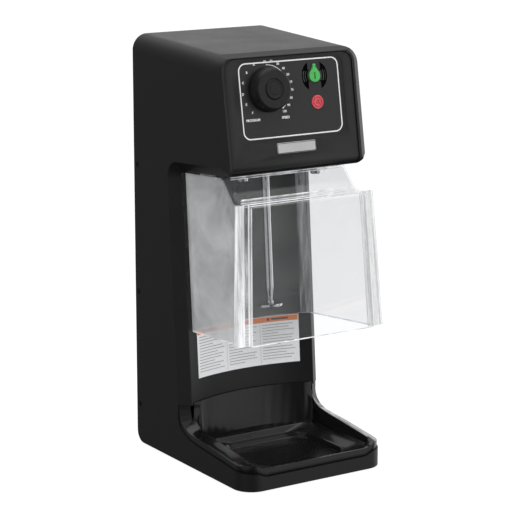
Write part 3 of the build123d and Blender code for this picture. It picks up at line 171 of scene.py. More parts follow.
# ------------------------------------------------------------------ kinds of material
def moulded(name, dark, light, rough, grain=650.0, depth=0.00004, cloud=18.0,
            spec=0.5, coat=0.0, coat_rough=0.1):
    """Moulded plastic: a fine spark texture (grain) and slow changes of tone and sheen (cloud)."""
    look = Look(name)
    slow = look.noise(scale=cloud, detail=4.0, roughness=0.55)
    fine = look.noise(scale=grain, detail=3.0, roughness=0.6)
    sheen = look.remap(slow, low=rough - 0.035, high=rough + 0.035)
    return look.principled({
        "Base Color": look.ramp(slow, dark, light, start=0.30, end=0.72),
        "Roughness": look.math("ADD", sheen, look.remap(fine, low=-0.03, high=0.03)),
        "Normal": look.bump(fine, distance=depth, strength=0.55),
        "Specular IOR Level": spec,
        "Coat Weight": coat,
        "Coat Roughness": coat_rough,
    })


def metal(name, dark, light, rough, brush=(1, 1, 1), depth=0.000006, cloud=45.0):
    """Bare metal: slow tarnish plus fine tool marks, whose scale along each axis brush sets."""
    look = Look(name)
    slow = look.noise(scale=cloud, detail=3.0, roughness=0.5)
    marks = look.noise(scale=900.0, detail=2.0, roughness=0.6, stretch=brush)
    sheen = look.remap(slow, low=rough * 0.8, high=rough * 1.2)
    return look.principled({
        "Base Color": look.ramp(slow, dark, light),
        "Roughness": look.math("ADD", sheen, look.remap(marks, low=-0.02, high=0.03)),
        "Normal": look.bump(marks, distance=depth, strength=0.5),
        "Metallic": 1.0,
    })


def printed(name, dark, light, rough):
    """Screen-printed ink or film with a faint screen grain."""
    look = Look(name)
    grain = look.noise(scale=900.0, detail=2.0, roughness=0.5)
    return look.principled({
        "Base Color": look.ramp(grain, dark, light),
        "Roughness": look.remap(grain, low=rough - 0.04, high=rough + 0.04),
        "Normal": look.bump(grain, distance=0.000004, strength=0.4),
        "Specular IOR Level": 0.4,
    })


def clear(name, tint, haze, haze_low, wave):
    """Clear sheet: what is behind shows through, with a mirror film that grows towards grazing
    angles, slight waves that break up its reflections, and patches of milky white, a faint
    haze at small strengths and a painted reflection at large ones."""
    look = Look(name)
    through = look.add("ShaderNodeBsdfTransparent", {"Color": (*tint, 1.0)})
    waves = look.noise(scale=26.0, detail=2.0, roughness=0.45, distortion=0.6)
    normal = look.bump(waves, distance=wave, strength=1.0)
    gloss = look.add("ShaderNodeBsdfGlossy", {"Roughness": 0.03, "Normal": normal})
    # milky white: a faint haze, and a painted reflection where it is strong
    milky_haze_and_painted_reflection = look.add("ShaderNodeBsdfDiffuse", {"Color": (0.86, 0.87, 0.88, 1.0)})
    facing = look.add("ShaderNodeLayerWeight", {"Blend": 0.5}).outputs["Facing"]
    # mirror share: 0.045 seen square on, 0.75 more at the steepest angle
    steep = look.math("POWER", facing, 4.0)
    mirror = look.math("ADD", look.math("MULTIPLY", steep, 0.75), 0.045, clamp=True)
    patches = look.noise(scale=14.0, detail=3.0, roughness=0.6, distortion=0.8)
    haze_and_painted_reflection_share = look.remap(patches, low=haze_low, high=haze, start=0.35, end=0.7)
    return look.surface(look.mix(haze_and_painted_reflection_share, look.mix(mirror, through, gloss), milky_haze_and_painted_reflection))


def painted_highlight_sheet(name, dark, light, alpha, stretch, scale=240.0, side_fade=None, glow=0.35):
    """Clear sheet band with painted highlights: a milky, streaked, part see-through band that glows
    by emission in place of the light its folds and cut edges catch. If a share is given for the
    fade, painted shade dims the band to that share from left to right."""
    look = Look(name)
    highlight_streaks = look.noise(scale=scale, detail=3.0, roughness=0.55, stretch=stretch)
    colour = look.ramp(highlight_streaks, dark, light, start=0.32, end=0.66)
    if side_fade:
        x = look.add("ShaderNodeSeparateXYZ", {0: look.coords}).outputs[0]
        # painted shade: full brightness on the left, dimmer towards the right
        painted_shade = look.remap(x, low=1.0, high=side_fade, start=-0.08, end=0.08)
        scaled = look.add("ShaderNodeVectorMath", {0: colour, "Scale": painted_shade}, operation="SCALE")
        colour = scaled.outputs[0]
    rough = 0.14
    return look.principled({
        # the streaked colour is a painted highlight, and it glows by emission
        "Base Color": colour,
        "Emission Color": colour,
        "Emission Strength": glow,
        "Alpha": look.remap(highlight_streaks, low=alpha[0], high=alpha[1]),
        "Roughness": look.remap(highlight_streaks, low=rough * 0.7, high=rough * 1.3),
        "Specular IOR Level": 0.6,
    })


# ------------------------------------------------------------------ material tables
# name: dark tone, light tone, roughness, other settings
MOULDED = {
    "casing_black": ((0.0095, 0.0095, 0.0100), (0.0125, 0.0125, 0.0130), 0.40, dict(spec=0.42)),
    "bezel_black": ((0.0110, 0.0110, 0.0115), (0.0150, 0.0150, 0.0155), 0.36, dict(spec=0.45)),
    "cover_black": ((0.010, 0.010, 0.0105), (0.014, 0.014, 0.0145), 0.46, dict(spec=0.4)),
    "plate_black": ((0.011, 0.011, 0.011), (0.017, 0.017, 0.017), 0.55, dict(spec=0.35)),
    "knob_black": ((0.006, 0.006, 0.0065), (0.0095, 0.0095, 0.010), 0.38,
                   dict(grain=900.0, depth=0.00002, spec=0.45)),
    "switch_black": ((0.010, 0.010, 0.011), (0.016, 0.016, 0.017), 0.45, {}),
    "component_black": ((0.012, 0.012, 0.013), (0.020, 0.020, 0.021), 0.5, {}),
    "fan_plastic": ((0.030, 0.030, 0.032), (0.045, 0.045, 0.048), 0.45, {}),
    "cable_black": ((0.010, 0.010, 0.010), (0.016, 0.016, 0.016), 0.55,
                    dict(grain=420.0, depth=0.00006)),
    "rubber": ((0.012, 0.012, 0.012), (0.022, 0.022, 0.021), 0.72,
               dict(grain=300.0, depth=0.00008, spec=0.3)),
    "overlay_film": ((0.0165, 0.0165, 0.0170), (0.0205, 0.0205, 0.0212), 0.44,
                     dict(grain=1100.0, depth=0.000012, cloud=9.0, spec=0.45)),
    "tray_gloss": ((0.0045, 0.0045, 0.0048), (0.0065, 0.0065, 0.0070), 0.20,
                   dict(grain=60.0, depth=0.00012, cloud=12.0, spec=0.42,
                        coat=0.30, coat_rough=0.04)),
    "key_green": ((0.035, 0.33, 0.055), (0.06, 0.45, 0.085), 0.30,
                  dict(grain=500.0, depth=0.00001, cloud=120.0)),
    "key_red": ((0.50, 0.035, 0.055), (0.64, 0.065, 0.085), 0.34,
                dict(grain=500.0, depth=0.00001, cloud=120.0)),
    "board_green": ((0.010, 0.085, 0.030), (0.015, 0.12, 0.040), 0.35,
                    dict(grain=500.0, depth=0.00002)),
    "carbon": ((0.012, 0.012, 0.012), (0.03, 0.03, 0.03), 0.6, dict(grain=700.0)),
    # painted shade: a near-black, dull film in the start key's dish, for the dark look of its
    # concave gloss
    "dish_gloss": ((0.0006, 0.0006, 0.0006), (0.0012, 0.0012, 0.0012), 0.5,
                   dict(grain=200.0, depth=0.00001, spec=0.06)),
    # painted highlights: mid-grey arcs in the dark dish
    "dish_ring": ((0.030, 0.030, 0.031), (0.050, 0.050, 0.052), 0.3,
                  dict(grain=400.0, depth=0.00001)),
}
METAL = {
    "badge_plate": ((0.90, 0.90, 0.91), (0.97, 0.97, 0.98), 0.42, dict(brush=(0.06, 1, 1))),
    "polished_steel": ((0.72, 0.72, 0.73), (0.86, 0.86, 0.87), 0.10, dict(brush=(1, 1, 0.05))),
    "zinc_steel": ((0.52, 0.53, 0.55), (0.66, 0.67, 0.69), 0.26, {}),
    "bearing_steel": ((0.55, 0.55, 0.56), (0.70, 0.70, 0.71), 0.18, {}),
    "lamination_steel": ((0.22, 0.22, 0.23), (0.34, 0.34, 0.35), 0.42, dict(brush=(1, 1, 6))),
    "cast_alloy": ((0.42, 0.43, 0.44), (0.55, 0.56, 0.57), 0.46,
                   dict(depth=0.00006, cloud=80.0)),
    "screw_black": ((0.035, 0.035, 0.036), (0.060, 0.060, 0.062), 0.36, {}),
    "black_anodised": ((0.020, 0.020, 0.022), (0.034, 0.034, 0.036), 0.40, {}),
    "copper": ((0.62, 0.24, 0.11), (0.80, 0.36, 0.18), 0.28, {}),
    "brass": ((0.62, 0.43, 0.16), (0.76, 0.56, 0.24), 0.24, {}),
}
PRINTED = {
    "ink_white": ((0.74, 0.74, 0.74), (0.84, 0.84, 0.84), 0.5, {}),
    "placard_film": ((0.90, 0.91, 0.92), (0.96, 0.97, 0.98), 0.42, {}),
    "ink_orange": ((0.76, 0.20, 0.045), (0.86, 0.27, 0.07), 0.42, {}),
    "ink_grey": ((0.36, 0.36, 0.37), (0.50, 0.50, 0.51), 0.5, {}),
    "ink_dark_green": ((0.006, 0.07, 0.012), (0.010, 0.10, 0.018), 0.4, {}),
    "ink_dark_red": ((0.16, 0.008, 0.012), (0.22, 0.012, 0.018), 0.4, {}),
    "ink_black": ((0.03, 0.03, 0.03), (0.06, 0.06, 0.06), 0.5, {}),
}
CLEAR_SHEETS = {
    "clear_sheet": dict(tint=(0.965, 0.968, 0.972), haze=0.022, haze_low=0.0, wave=0.00004),
    # painted reflection: the side sheet's strong milky patches stand in for its mottled reflections
    "clear_sheet_side": dict(tint=(0.95, 0.955, 0.96), haze=0.62, haze_low=0.62 * 0.45,
                             wave=0.0010),
}
# painted highlights: emissive streaked bands for the shield's cut edges, folds, top ledge, fine
# lines and corners; the fold band also has painted shade towards the right
PAINTED_HIGHLIGHT_SHEETS = {
    "clear_sheet_edge": dict(dark=(0.50, 0.51, 0.52), light=(0.80, 0.81, 0.82),
                             alpha=(0.45, 0.8), stretch=(1, 1, 1), scale=120.0),
    "clear_sheet_fold": dict(dark=(0.34, 0.35, 0.36), light=(0.95, 0.95, 0.96),
                             alpha=(0.06, 0.40), stretch=(1, 1, 0.02), side_fade=0.6,
                             glow=0.40),
    "clear_sheet_ledge": dict(dark=(0.40, 0.41, 0.42), light=(0.80, 0.81, 0.82),
                              alpha=(0.06, 0.22), stretch=(0.05, 1, 1), scale=160.0,
                              glow=0.30),
    "clear_sheet_line": dict(dark=(0.46, 0.47, 0.48), light=(0.88, 0.89, 0.90),
                             alpha=(0.55, 0.92), stretch=(1, 1, 0.1), scale=90.0, glow=0.36),
    "clear_sheet_corner": dict(dark=(0.16, 0.16, 0.17), light=(0.62, 0.63, 0.64),
                               alpha=(0.25, 0.55), stretch=(1, 1, 0.06), scale=170.0,
                               glow=0.12),
}

MATERIAL = {}
for make, table in ((moulded, MOULDED), (metal, METAL), (printed, PRINTED)):
    for name, (dark, light, rough, others) in table.items():
        MATERIAL[name] = make(name, dark, light, rough, **others)
for make, table in ((clear, CLEAR_SHEETS), (painted_highlight_sheet, PAINTED_HIGHLIGHT_SHEETS)):
    for name, settings in table.items():
        MATERIAL[name] = make(name, **settings)

# material: the CAD pieces made of it
PIECES = {
    "casing_black": "housing_shell",
    "cover_black": "rear_cover",
    "bezel_black": "front_bezel",
    "plate_black": "bottom_plate",
    "screw_black": "rear_cover_screws bottom_plate_screws",
    "zinc_steel": "board_screws dial_encoder motor_mount_plate motor_mount_screws "
                  "motor_through_bolts hanger_nuts board_standoffs spindle_coupling "
                  "encoder_shaft",
    "rubber": "rubber_feet motor_isolators spindle_seal cord_grommet",
    "overlay_film": "control_overlay",
    "badge_plate": "name_badge",
    "placard_film": "caution_placard",
    "board_green": "control_board power_board",
    "switch_black": "start_switch stop_switch",
    "component_black": "board_components power_components",
    "cast_alloy": "lower_end_bracket upper_end_bracket",
    "bearing_steel": "lower_bearing upper_bearing armature_shaft",
    "lamination_steel": "stator_core armature_core",
    "copper": "field_windings armature_windings commutator",
    "brass": "brush_holders plug_pins",
    "carbon": "carbon_brushes",
    "polished_steel": "shield_hanger_studs spindle_shaft agitator",
    "black_anodised": "heat_sink",
    "cable_black": "control_harness motor_leads power_cord plug_body",
    "fan_plastic": "cooling_fan",
    "knob_black": "speed_dial dial_cap",
    "key_green": "start_button",
    "key_red": "stop_button",
    "tray_gloss": "drip_tray",
    "clear_sheet": "shield_tub shield_front",
}


def dress_pieces():
    material_of = {piece: name for name, pieces in PIECES.items() for piece in pieces.split()}
    for name, piece in NODE.items():
        material = MATERIAL[material_of[name]]
        if not piece.material_slots:
            piece.data.materials.append(material)
        for slot in piece.material_slots:
            slot.material = material


# ------------------------------------------------------------------ mesh helpers
def mesh_object(name, bm, material):
    mesh = bpy.data.meshes.new(name)
    bm.to_mesh(mesh)
    bm.free()
    mesh.materials.append(material)
    made = bpy.data.objects.new(name, mesh)
    scene.collection.objects.link(made)
    return made


def attach(piece, carrier="root"):
    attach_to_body(piece, carrier)


def add_solid(name, bm, material, carrier="root"):
    bmesh.ops.recalc_face_normals(bm, faces=bm.faces)
    attach(mesh_object(name, bm, MATERIAL[material]), carrier)


def skin(bm, rows, closed=False):
    """Skin four rows of points, the long edges of a strip, joined end to end or capped."""
    verts = [[bm.verts.new(point) for point in row] for row in rows]
    count = len(rows[0])
    for i in range(count if closed else count - 1):
        j = (i + 1) % count
        for r in range(4):
            s = (r + 1) % 4
            bm.faces.new((verts[r][i], verts[r][j], verts[s][j], verts[s][i]))
    if not closed:
        bm.faces.new([row[0] for row in verts])
        bm.faces.new([row[-1] for row in reversed(verts)])


def band(bm, outer, inner, levels, closed):
    """A thin solid on the panel between two lines of (u, v) points; levels: low and high n."""
    low, high = levels
    corners = ((outer, high), (inner, high), (inner, low), (outer, low))
    skin(bm, [[panel(u, v, n) for u, v in line] for line, n in corners], closed)


def rounded(centre, width, height, radius, steps=10):
    """Rounded rectangle, counter-clockwise from the right end of its top right corner."""
    points = []
    for side_u, side_v, start in ((1, 1, 0), (-1, 1, 90), (-1, -1, 180), (1, -1, 270)):
        corner_u = centre[0] + side_u * (width / 2 - radius)
        corner_v = centre[1] + side_v * (height / 2 - radius)
        for i in range(steps + 1):
            a = math.radians(start + 90 * i / steps)
            points.append((corner_u + radius * math.cos(a), corner_v + radius * math.sin(a)))
    return points


def rounded_frame(bm, centre, width, height, line, radii, levels):
    """A closed line of the given width; radii: outer and inner corner."""
    outer = rounded(centre, width, height, radii[0])
    inner = rounded(centre, width - 2 * line, height - 2 * line, radii[1])
    band(bm, outer, inner, levels, closed=True)


def dial_point(angle, radius):
    """Point round the dial, clockwise in degrees from straight up the panel."""
    a = math.radians(angle)
    return DIAL[0] + radius * math.sin(a), DIAL[1] + radius * math.cos(a)


# ------------------------------------------------------------------ panel print
BORDER = dict(centre=(0.0, 70.6), width=135.0, height=86.0, line=1.4, radii=(9.6, 8.2))
SWEEP_RADIUS = 28.1
SWEEP_STEPS = 48
SPEED_RADIUS, PROGRAM_RADIUS = 32.6, 33.2
PROGRAM_ANGLES = (-28, -51, -73, -95, -116, -137)
# cap height of the letters and how far their outline is thickened
MARK_TYPE = (2.6, 0.10)
TITLE_TYPE = (2.7, 0.12)
TITLE_V = 49.4
CAP_SHARE = 0.69  # cap height over font size


def print_panel_lines():
    bm = bmesh.new()
    # border line round the controls
    rounded_frame(bm, levels=INK, **BORDER)
    # tapering sweep round the dial that grows with the speed
    outer, inner = [], []
    for i in range(SWEEP_STEPS + 1):
        t = i / SWEEP_STEPS
        angle = 1 + 140 * t
        half = 0.30 + 0.85 * t ** 2.2
        outer.append(dial_point(angle, SWEEP_RADIUS + half))
        inner.append(dial_point(angle, SWEEP_RADIUS - half))
    band(bm, outer, inner, INK, closed=False)
    add_solid("panel_print_lines", bm, "ink_white")


def text_object(text, u, v, cap, weight):
    curve = bpy.data.curves.new("mark", "FONT")
    curve.body = text
    curve.size = cap / CAP_SHARE * MM
    curve.align_x = "CENTER"
    curve.align_y = "CENTER"
    curve.offset = weight * MM
    curve.extrude = (INK[1] - INK[0]) / 2 * MM
    curve.resolution_u = 3
    made = bpy.data.objects.new("mark", curve)
    scene.collection.objects.link(made)
    made.matrix_world = axes_matrix(PANEL_U, PANEL_V, PANEL_N, panel(u, v, sum(INK) / 2))
    return made


def print_panel_marks():
    """The dial's speeds and program letters and the two titles, joined into one mesh."""
    marks = [(str(10 * i + 10), *dial_point(16 * i - 2, SPEED_RADIUS), *MARK_TYPE)
             for i in range(10)]
    marks += [(letter, *dial_point(angle, PROGRAM_RADIUS), *MARK_TYPE)
              for letter, angle in zip("ABCDEF", PROGRAM_ANGLES)]
    marks += [("PROGRAM", -53.0, TITLE_V, *TITLE_TYPE), ("SPEED", -9.5, TITLE_V, *TITLE_TYPE)]
    texts = [text_object(*mark) for mark in marks]
    bpy.context.view_layer.update()
    depsgraph = bpy.context.evaluated_depsgraph_get()
    bm = bmesh.new()
    for text in texts:
        mesh = bpy.data.meshes.new_from_object(text.evaluated_get(depsgraph))
        mesh.transform(text.matrix_world)
        bm.from_mesh(mesh)
        bpy.data.meshes.remove(mesh)
    for text in texts:
        curve = text.data
        bpy.data.objects.remove(text)
        bpy.data.curves.remove(curve)
    bmesh.ops.remove_doubles(bm, verts=bm.verts, dist=0.000004)
    attach(mesh_object("panel_print_marks", bm, MATERIAL["ink_white"]))


# ------------------------------------------------------------------ placard print
# The placard is bent round an axis parallel to w, in front of the wall
PLACARD_RADIUS = 198.66
PLACARD_AXIS_V = 294.5
COLUMN_PITCH = 47.5
COLUMNS = (-COLUMN_PITCH, 0.0, COLUMN_PITCH)
COLUMN_WIDTH = 42.0
PRINT_LIFT = (-0.02, 0.05)
OVERPRINT_LIFT = (0.03, 0.075)
ROWS = 13
ROW_TOP, ROW_PITCH, ROW_HEIGHT = 140.4, 3.45, 0.95
DIVIDER_HALF = 0.18
# bar lengths over the column width; each column starts five further on
BAR_SHARES = (
    0.93, 0.88, 0.95, 0.55, 0.90, 0.97, 0.72, 0.94, 0.86, 0.60, 0.92, 0.80, 0.96, 0.48,
)


def wall(x, w, lift):
    radius = PLACARD_RADIUS - lift
    return bay(x, PLACARD_AXIS_V - math.sqrt(radius * radius - x * x), w)


def wall_patch(bm, x0, x1, w0, w1, lift=PRINT_LIFT, step=4.0):
    """A curved bar from x0 to x1 and w0 to w1; lift: under side and top over the placard."""
    count = max(1, int((x1 - x0) / step))
    xs = [x0 + (x1 - x0) * i / count for i in range(count + 1)]
    low, high = lift
    corners = ((w0, low), (w1, low), (w1, high), (w0, high))
    skin(bm, [[wall(x, w, level) for x in xs] for w, level in corners])


def print_placard():
    """An orange heading with black blocks, over three columns of grey bars."""
    bm = bmesh.new()
    wall_patch(bm, -71.2, 71.2, 144.3, 150.9)
    add_solid("placard_band", bm, "ink_orange")

    bm = bmesh.new()
    for x in COLUMNS:
        wall_patch(bm, x - 9.0, x + 12.0, 146.6, 148.8, OVERPRINT_LIFT)
        wall_patch(bm, x - 14.6, x - 11.0, 146.2, 149.2, OVERPRINT_LIFT)
    add_solid("placard_band_bars", bm, "ink_black")

    bm = bmesh.new()
    for column, x in enumerate(COLUMNS):
        left = x - COLUMN_WIDTH / 2
        for i in range(ROWS):
            w = ROW_TOP - i * ROW_PITCH
            length = COLUMN_WIDTH * BAR_SHARES[(i + 5 * column) % len(BAR_SHARES)]
            wall_patch(bm, left, left + length, w, w + ROW_HEIGHT)
    for x in (-COLUMN_PITCH / 2, COLUMN_PITCH / 2):
        wall_patch(bm, x - DIVIDER_HALF, x + DIVIDER_HALF, 94.5, 143.0)
    add_solid("placard_bars", bm, "ink_grey")


# ------------------------------------------------------------------ shield
# material slots of the shield: the clear sheet, then sheets with painted highlights and the side
# sheet with painted reflection
SHEET_SLOTS = (
    "clear_sheet", "clear_sheet_edge", "clear_sheet_side",
    "clear_sheet_fold", "clear_sheet_corner", "clear_sheet_ledge",
)
CLEAR, EDGE, SIDE, FOLD, CORNER, LEDGE = range(6)

# Bay places that part the regions of the sheet
BOTTOM_W = 154.0
TUB_FRONT_V, TUB_RIM_V = 238.3, 238.6
TUB_SIDE_X = -80
TUB_CORNER_X, TUB_CORNER_V = 74, 150
TUB_TOP_W, TUB_TOP_X, TUB_TOP_V = 336, 80, 215
LEDGE_W = 308.5
FLANGE_X, FLANGE_V = 81, 244.2

# painted highlight lines: half thickness, reach in x, shortest edge and least bend that gets one
LINE_RADIUS = 0.00045
LINE_REACH_X = 0.1009
SHORTEST_LINE = 0.1
SHARPEST_BEND = math.radians(36.0)


def tub_region(x, v, w, across, along):
    """Region of a tub face; across and along: how far it faces along x and along w, 0 to 1."""
    if w < BOTTOM_W and along > 0.6:
        return EDGE
    if v > TUB_FRONT_V:
        return FOLD if v > TUB_RIM_V or across > 0.5 else CLEAR
    if across > 0.93 and x < TUB_SIDE_X:
        return SIDE
    if (abs(x) > TUB_CORNER_X and 0.12 < across <= 0.93
            and v < TUB_CORNER_V and w < TUB_TOP_W):
        return CORNER
    if w > TUB_TOP_W and along < 0.4 and abs(x) < TUB_TOP_X and v < TUB_TOP_V:
        return EDGE
    return CLEAR


def front_region(x, v, w, across, along):
    """Region of a face of the front sheet, with the same inputs as tub_region."""
    if w < BOTTOM_W and along > 0.6:
        return EDGE
    if w > LEDGE_W:
        return LEDGE
    if across > 0.5 or (v < FLANGE_V and abs(x) > FLANGE_X):
        return FOLD
    return CLEAR


def paint_shield(name, region):
    mesh = NODE[name].data
    mesh.materials.clear()
    for sheet in SHEET_SLOTS:
        mesh.materials.append(MATERIAL[sheet])
    for face in mesh.polygons:
        normal = face.normal
        across = abs(normal.x)
        along = abs(normal.y * LEAN_SIN + normal.z * LEAN_COS)
        face.material_index = region(*in_bay(face.center), across, along)


def edge_faces(mesh):
    """Each edge, keyed by its end points in tenths of a millimetre, with the normal and edge
    ends from every face on it."""
    found = {}
    for face in mesh.polygons:
        corners = [mesh.vertices[k].co for k in face.vertices]
        for start, end in zip(corners, corners[1:] + corners[:1]):
            key = tuple(sorted(tuple(round(k * 10000) for k in point) for point in (start, end)))
            found.setdefault(key, []).append((face.normal.copy(), start.copy(), end.copy()))
    return found


def square_rod(bm, start, end, radius):
    along = (end - start).normalized()
    side = along.orthogonal().normalized() * radius
    other = along.cross(side).normalized() * radius
    rings = []
    for centre in (start, end):
        points = [centre + offset for offset in (side, other, -side, -other)]
        for point in points:
            point.x = max(-LINE_REACH_X, min(LINE_REACH_X, point.x))
        rings.append([bm.verts.new(point) for point in points])
    first, last = rings
    for j in range(4):
        k = (j + 1) % 4
        bm.faces.new((first[j], first[k], last[k], last[j]))
    bm.faces.new(first[::-1])
    bm.faces.new(last)


def painted_highlight_lines(name):
    """Fine lines of painted highlight along the sheet's folds and cut edges, glowing in place of the
    light they catch.
    """
    bm = bmesh.new()
    for _, faces in sorted(edge_faces(NODE[name].data).items(), key=lambda item: item[0]):
        if len(faces) != 2:
            continue
        (normal, start, end), (other_normal, _, _) = faces
        if (end - start).length < SHORTEST_LINE:
            continue
        if normal.angle(other_normal, 0.0) >= SHARPEST_BEND:
            square_rod(bm, start, end, LINE_RADIUS)
    add_solid(name + "_lines", bm, "clear_sheet_line", carrier="shield")


# ------------------------------------------------------------------ keys, dish and badge
DISH_RADIUS = 17.9
# low and high n of the painted highlight arcs in the dish
DISH_HIGHLIGHT_LEVELS = (-3.42, -3.2)
# radius, half width, half angle in degrees of the painted highlight arcs on each side of the dish
DISH_HIGHLIGHT_ARCS = ((11.2, 0.35, 30), (13.9, 0.5, 26), (16.6, 0.35, 20))
BADGE_FRAME = dict(centre=(1.0, 15.0), width=52.0, height=11.5, line=0.7, radii=(1.7, 1.1),
                   levels=(-0.25, -0.14))
# moulded pieces with soft edges, and the bevel width in metres
SOFT_EDGES = {"drip_tray": 0.0005, "front_bezel": 0.0004, "name_badge": 0.0002}


def paint_faces(name, material, chosen):
    """Give the chosen faces a further material; facing: how squarely they face the panel's n."""
    mesh = NODE[name].data
    mesh.materials.append(MATERIAL[material])
    for face in mesh.polygons:
        facing = abs(face.normal.dot(PANEL_N))
        if chosen(*in_panel(face.center), facing):
            face.material_index = len(mesh.materials) - 1


# faces of the dish that get the painted shade
def in_dish(u, v, n, facing):
    return math.hypot(u - DISH[0], v - DISH[1]) < DISH_RADIUS and -5.5 < n < -1.0


def paint_controls():
    """Symbols of the keys in their own colours, and painted shade in the dish: near-black."""
    paint_faces("start_button", "ink_dark_green", lambda u, v, n, facing: n > -0.35 and facing > 0.8)
    paint_faces("stop_button", "ink_dark_red", lambda u, v, n, facing: n > -0.65 and facing > 0.8)
    paint_faces("front_bezel", "dish_gloss", in_dish)


def dish_arc(radius, middle, spread):
    angles = [math.radians(middle + spread * (i / 12 - 1)) for i in range(25)]
    return [(DISH[0] + radius * math.cos(a), DISH[1] + radius * math.sin(a)) for a in angles]


# painted highlights: grey arcs on each side of the dark dish
def add_dish_highlights():
    bm = bmesh.new()
    for middle in (0, 180):
        for radius, half, spread in DISH_HIGHLIGHT_ARCS:
            outer = dish_arc(radius + half, middle, spread)
            inner = dish_arc(radius - half, middle, spread)
            band(bm, outer, inner, DISH_HIGHLIGHT_LEVELS, closed=False)
    add_solid("dish_painted_highlights", bm, "dish_ring")


def add_badge_frame():
    """A thin dark frame round the blank badge."""
    bm = bmesh.new()
    rounded_frame(bm, **BADGE_FRAME)
    add_solid("badge_frame", bm, "ink_black")


def soften(name, width):
    piece = NODE[name]
    weld = piece.modifiers.new("weld", "WELD")
    weld.merge_threshold = 0.00001
    bevel = piece.modifiers.new("edge", "BEVEL")
    bevel.width = width
    bevel.segments = 2
    bevel.limit_method = "ANGLE"
    bevel.angle_limit = math.radians(28.0)
    bevel.harden_normals = True
    bevel.use_clamp_overlap = True
    for face in piece.data.polygons:
        face.use_smooth = True


# ------------------------------------------------------------------ floor, light, camera
FLOOR_HALF = 14.0
FLOOR_CELLS = 8

# direction, angle in degrees where the light ends, angle where it is full, strength
GLOWS = (
    ((0, 0, 1), 180.0, 0.0, 0.10),
    ((0.05, 0.1, 1), 52.0, 20.0, 1.3),
    ((0.45, 0.95, 0.30), 48.0, 12.0, 0.42),
    ((0.53, -0.84, 0.02), 44.0, 14.0, 0.55),
    ((-0.9, -0.35, 0.2), 46.0, 10.0, 0.26),
    ((0.53, 0.82, -0.22), 36.0, 10.0, 0.80),
    ((1.0, 0.08, 0.04), 34.0, 8.0, 1.30),
    ((-0.62, 0.78, 0.08), 52.0, 14.0, 0.12),
)
# name, place, width and height in metres, power in watts
SOFTBOXES = (
    ("top", (0.05, 0.05, 1.75), (1.2, 1.2), 14),
    ("front_right", (1.2, -1.9, 0.9), (1.0, 1.2), 22),
    ("front_left", (-1.9, -1.5, 1.1), (1.0, 1.2), 20),
)
LIGHT_TARGET = (0.0, 0.0, 0.3)
CAMERA_PLACE = (-1.27941, -2.00249, 0.76729)
# degrees round from the front (negative: to the left) and above level
CAMERA_AZIMUTH, CAMERA_ELEVATION = -32.86, 12.62


def floor_material():
    """Pale to the camera, a plain grey to every other ray."""
    material = bpy.data.materials.new("floor_pale")
    nodes = Nodes(material)
    base = nodes.add("ShaderNodeBsdfDiffuse", {"Color": (0.16, 0.16, 0.16, 1)})
    shine = nodes.add("ShaderNodeEmission", {"Strength": 0.93})
    seen = nodes.add("ShaderNodeAddShader", {0: base.outputs[0], 1: shine.outputs[0]})
    unseen = nodes.add("ShaderNodeBsdfDiffuse", {"Color": (0.35, 0.35, 0.35, 1)})
    camera_ray = nodes.add("ShaderNodeLightPath").outputs["Is Camera Ray"]
    surface = nodes.mix(camera_ray, unseen, seen)
    nodes.add("ShaderNodeOutputMaterial", {"Surface": surface.outputs[0]})
    return material


def add_floor():
    bm = bmesh.new()
    places = [FLOOR_HALF * (2 * i / FLOOR_CELLS - 1) for i in range(FLOOR_CELLS + 1)]
    grid = [[bm.verts.new((x, y, 0.0)) for y in places] for x in places]
    for i in range(FLOOR_CELLS):
        for j in range(FLOOR_CELLS):
            bm.faces.new((grid[i][j], grid[i + 1][j], grid[i + 1][j + 1], grid[i][j + 1]))
    floor = mesh_object("floor", bm, floor_material())
    floor.visible_glossy = False


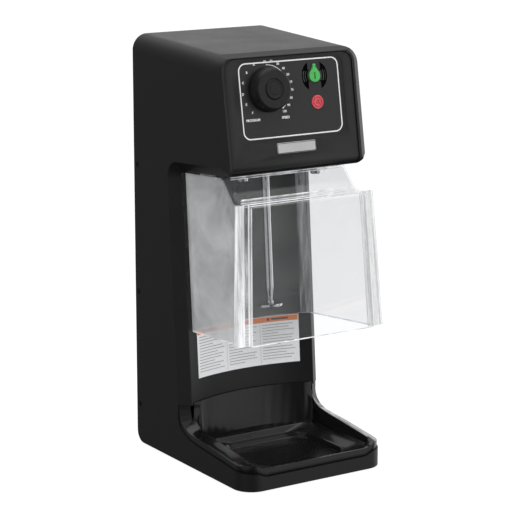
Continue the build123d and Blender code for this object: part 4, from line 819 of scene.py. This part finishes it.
def set_world():
    """Soft patches of studio light, hidden from the camera, which sees plain white."""
    world = bpy.data.worlds.new("studio")
    scene.world = world
    nodes = Nodes(world)
    direction = nodes.add("ShaderNodeTexCoord").outputs["Generated"]
    total = None
    for axis, reach, core, strength in GLOWS:
        closeness = nodes.add("ShaderNodeVectorMath", {
            0: direction, 1: Vector(axis).normalized(),
        }, operation="DOT_PRODUCT").outputs["Value"]
        patch = nodes.add("ShaderNodeMapRange", {
            "Value": closeness,
            "From Min": math.cos(math.radians(reach)),
            "From Max": math.cos(math.radians(core)),
            "To Max": strength,
        }, interpolation_type="SMOOTHSTEP").outputs[0]
        if total is None:
            total = patch
        else:
            total = nodes.add("ShaderNodeMath", {0: total, 1: patch}).outputs[0]
    light = nodes.add("ShaderNodeBackground", {"Color": total, "Strength": 1.0})
    seen = nodes.add("ShaderNodeBackground", {"Color": (1.0, 1.0, 1.0, 1.0)})
    camera_ray = nodes.add("ShaderNodeLightPath").outputs["Is Camera Ray"]
    surface = nodes.mix(camera_ray, light, seen)
    nodes.add("ShaderNodeOutputWorld", {"Surface": surface.outputs[0]})


def add_softbox(name, place, size, power):
    light = bpy.data.lights.new(name, "AREA")
    light.shape = "RECTANGLE"
    light.size, light.size_y = size
    light.energy = power
    box = bpy.data.objects.new(name, light)
    scene.collection.objects.link(box)
    box.location = place
    aim = Vector(LIGHT_TARGET) - Vector(place)
    box.rotation_mode = "QUATERNION"
    box.rotation_quaternion = aim.to_track_quat("-Z", "Y")
    box.visible_glossy = False


def add_camera():
    lens = bpy.data.cameras.new("camera")
    lens.lens = 142.01
    lens.sensor_width = 36.0
    lens.clip_start, lens.clip_end = 0.05, 60.0
    camera = bpy.data.objects.new("camera", lens)
    scene.collection.objects.link(camera)
    turn, rise = math.radians(CAMERA_AZIMUTH), math.radians(CAMERA_ELEVATION)
    level = math.cos(rise)
    back = Vector((math.sin(turn) * level, -math.cos(turn) * level, math.sin(rise)))
    right = (-back).cross(Vector((0, 0, 1))).normalized()
    up = right.cross(-back)
    camera.matrix_world = axes_matrix(right, up, back, Vector(CAMERA_PLACE))
    scene.camera = camera


def set_render():
    scene.view_settings.view_transform = "Standard"
    scene.view_settings.look = "None"
    # the Cycles settings exist only when its add-on is on
    if hasattr(scene, "cycles"):
        scene.cycles.transparent_max_bounces = 24
        scene.cycles.max_bounces = 10


# ------------------------------------------------------------------ build
dress_pieces()
print_panel_lines()
print_panel_marks()
print_placard()
paint_shield("shield_tub", tub_region)
paint_shield("shield_front", front_region)
painted_highlight_lines("shield_tub")
painted_highlight_lines("shield_front")
paint_controls()
add_dish_highlights()
add_badge_frame()
for name, width in SOFT_EDGES.items():
    soften(name, width)
add_floor()
set_world()
for softbox in SOFTBOXES:
    add_softbox(*softbox)
add_camera()
set_render()
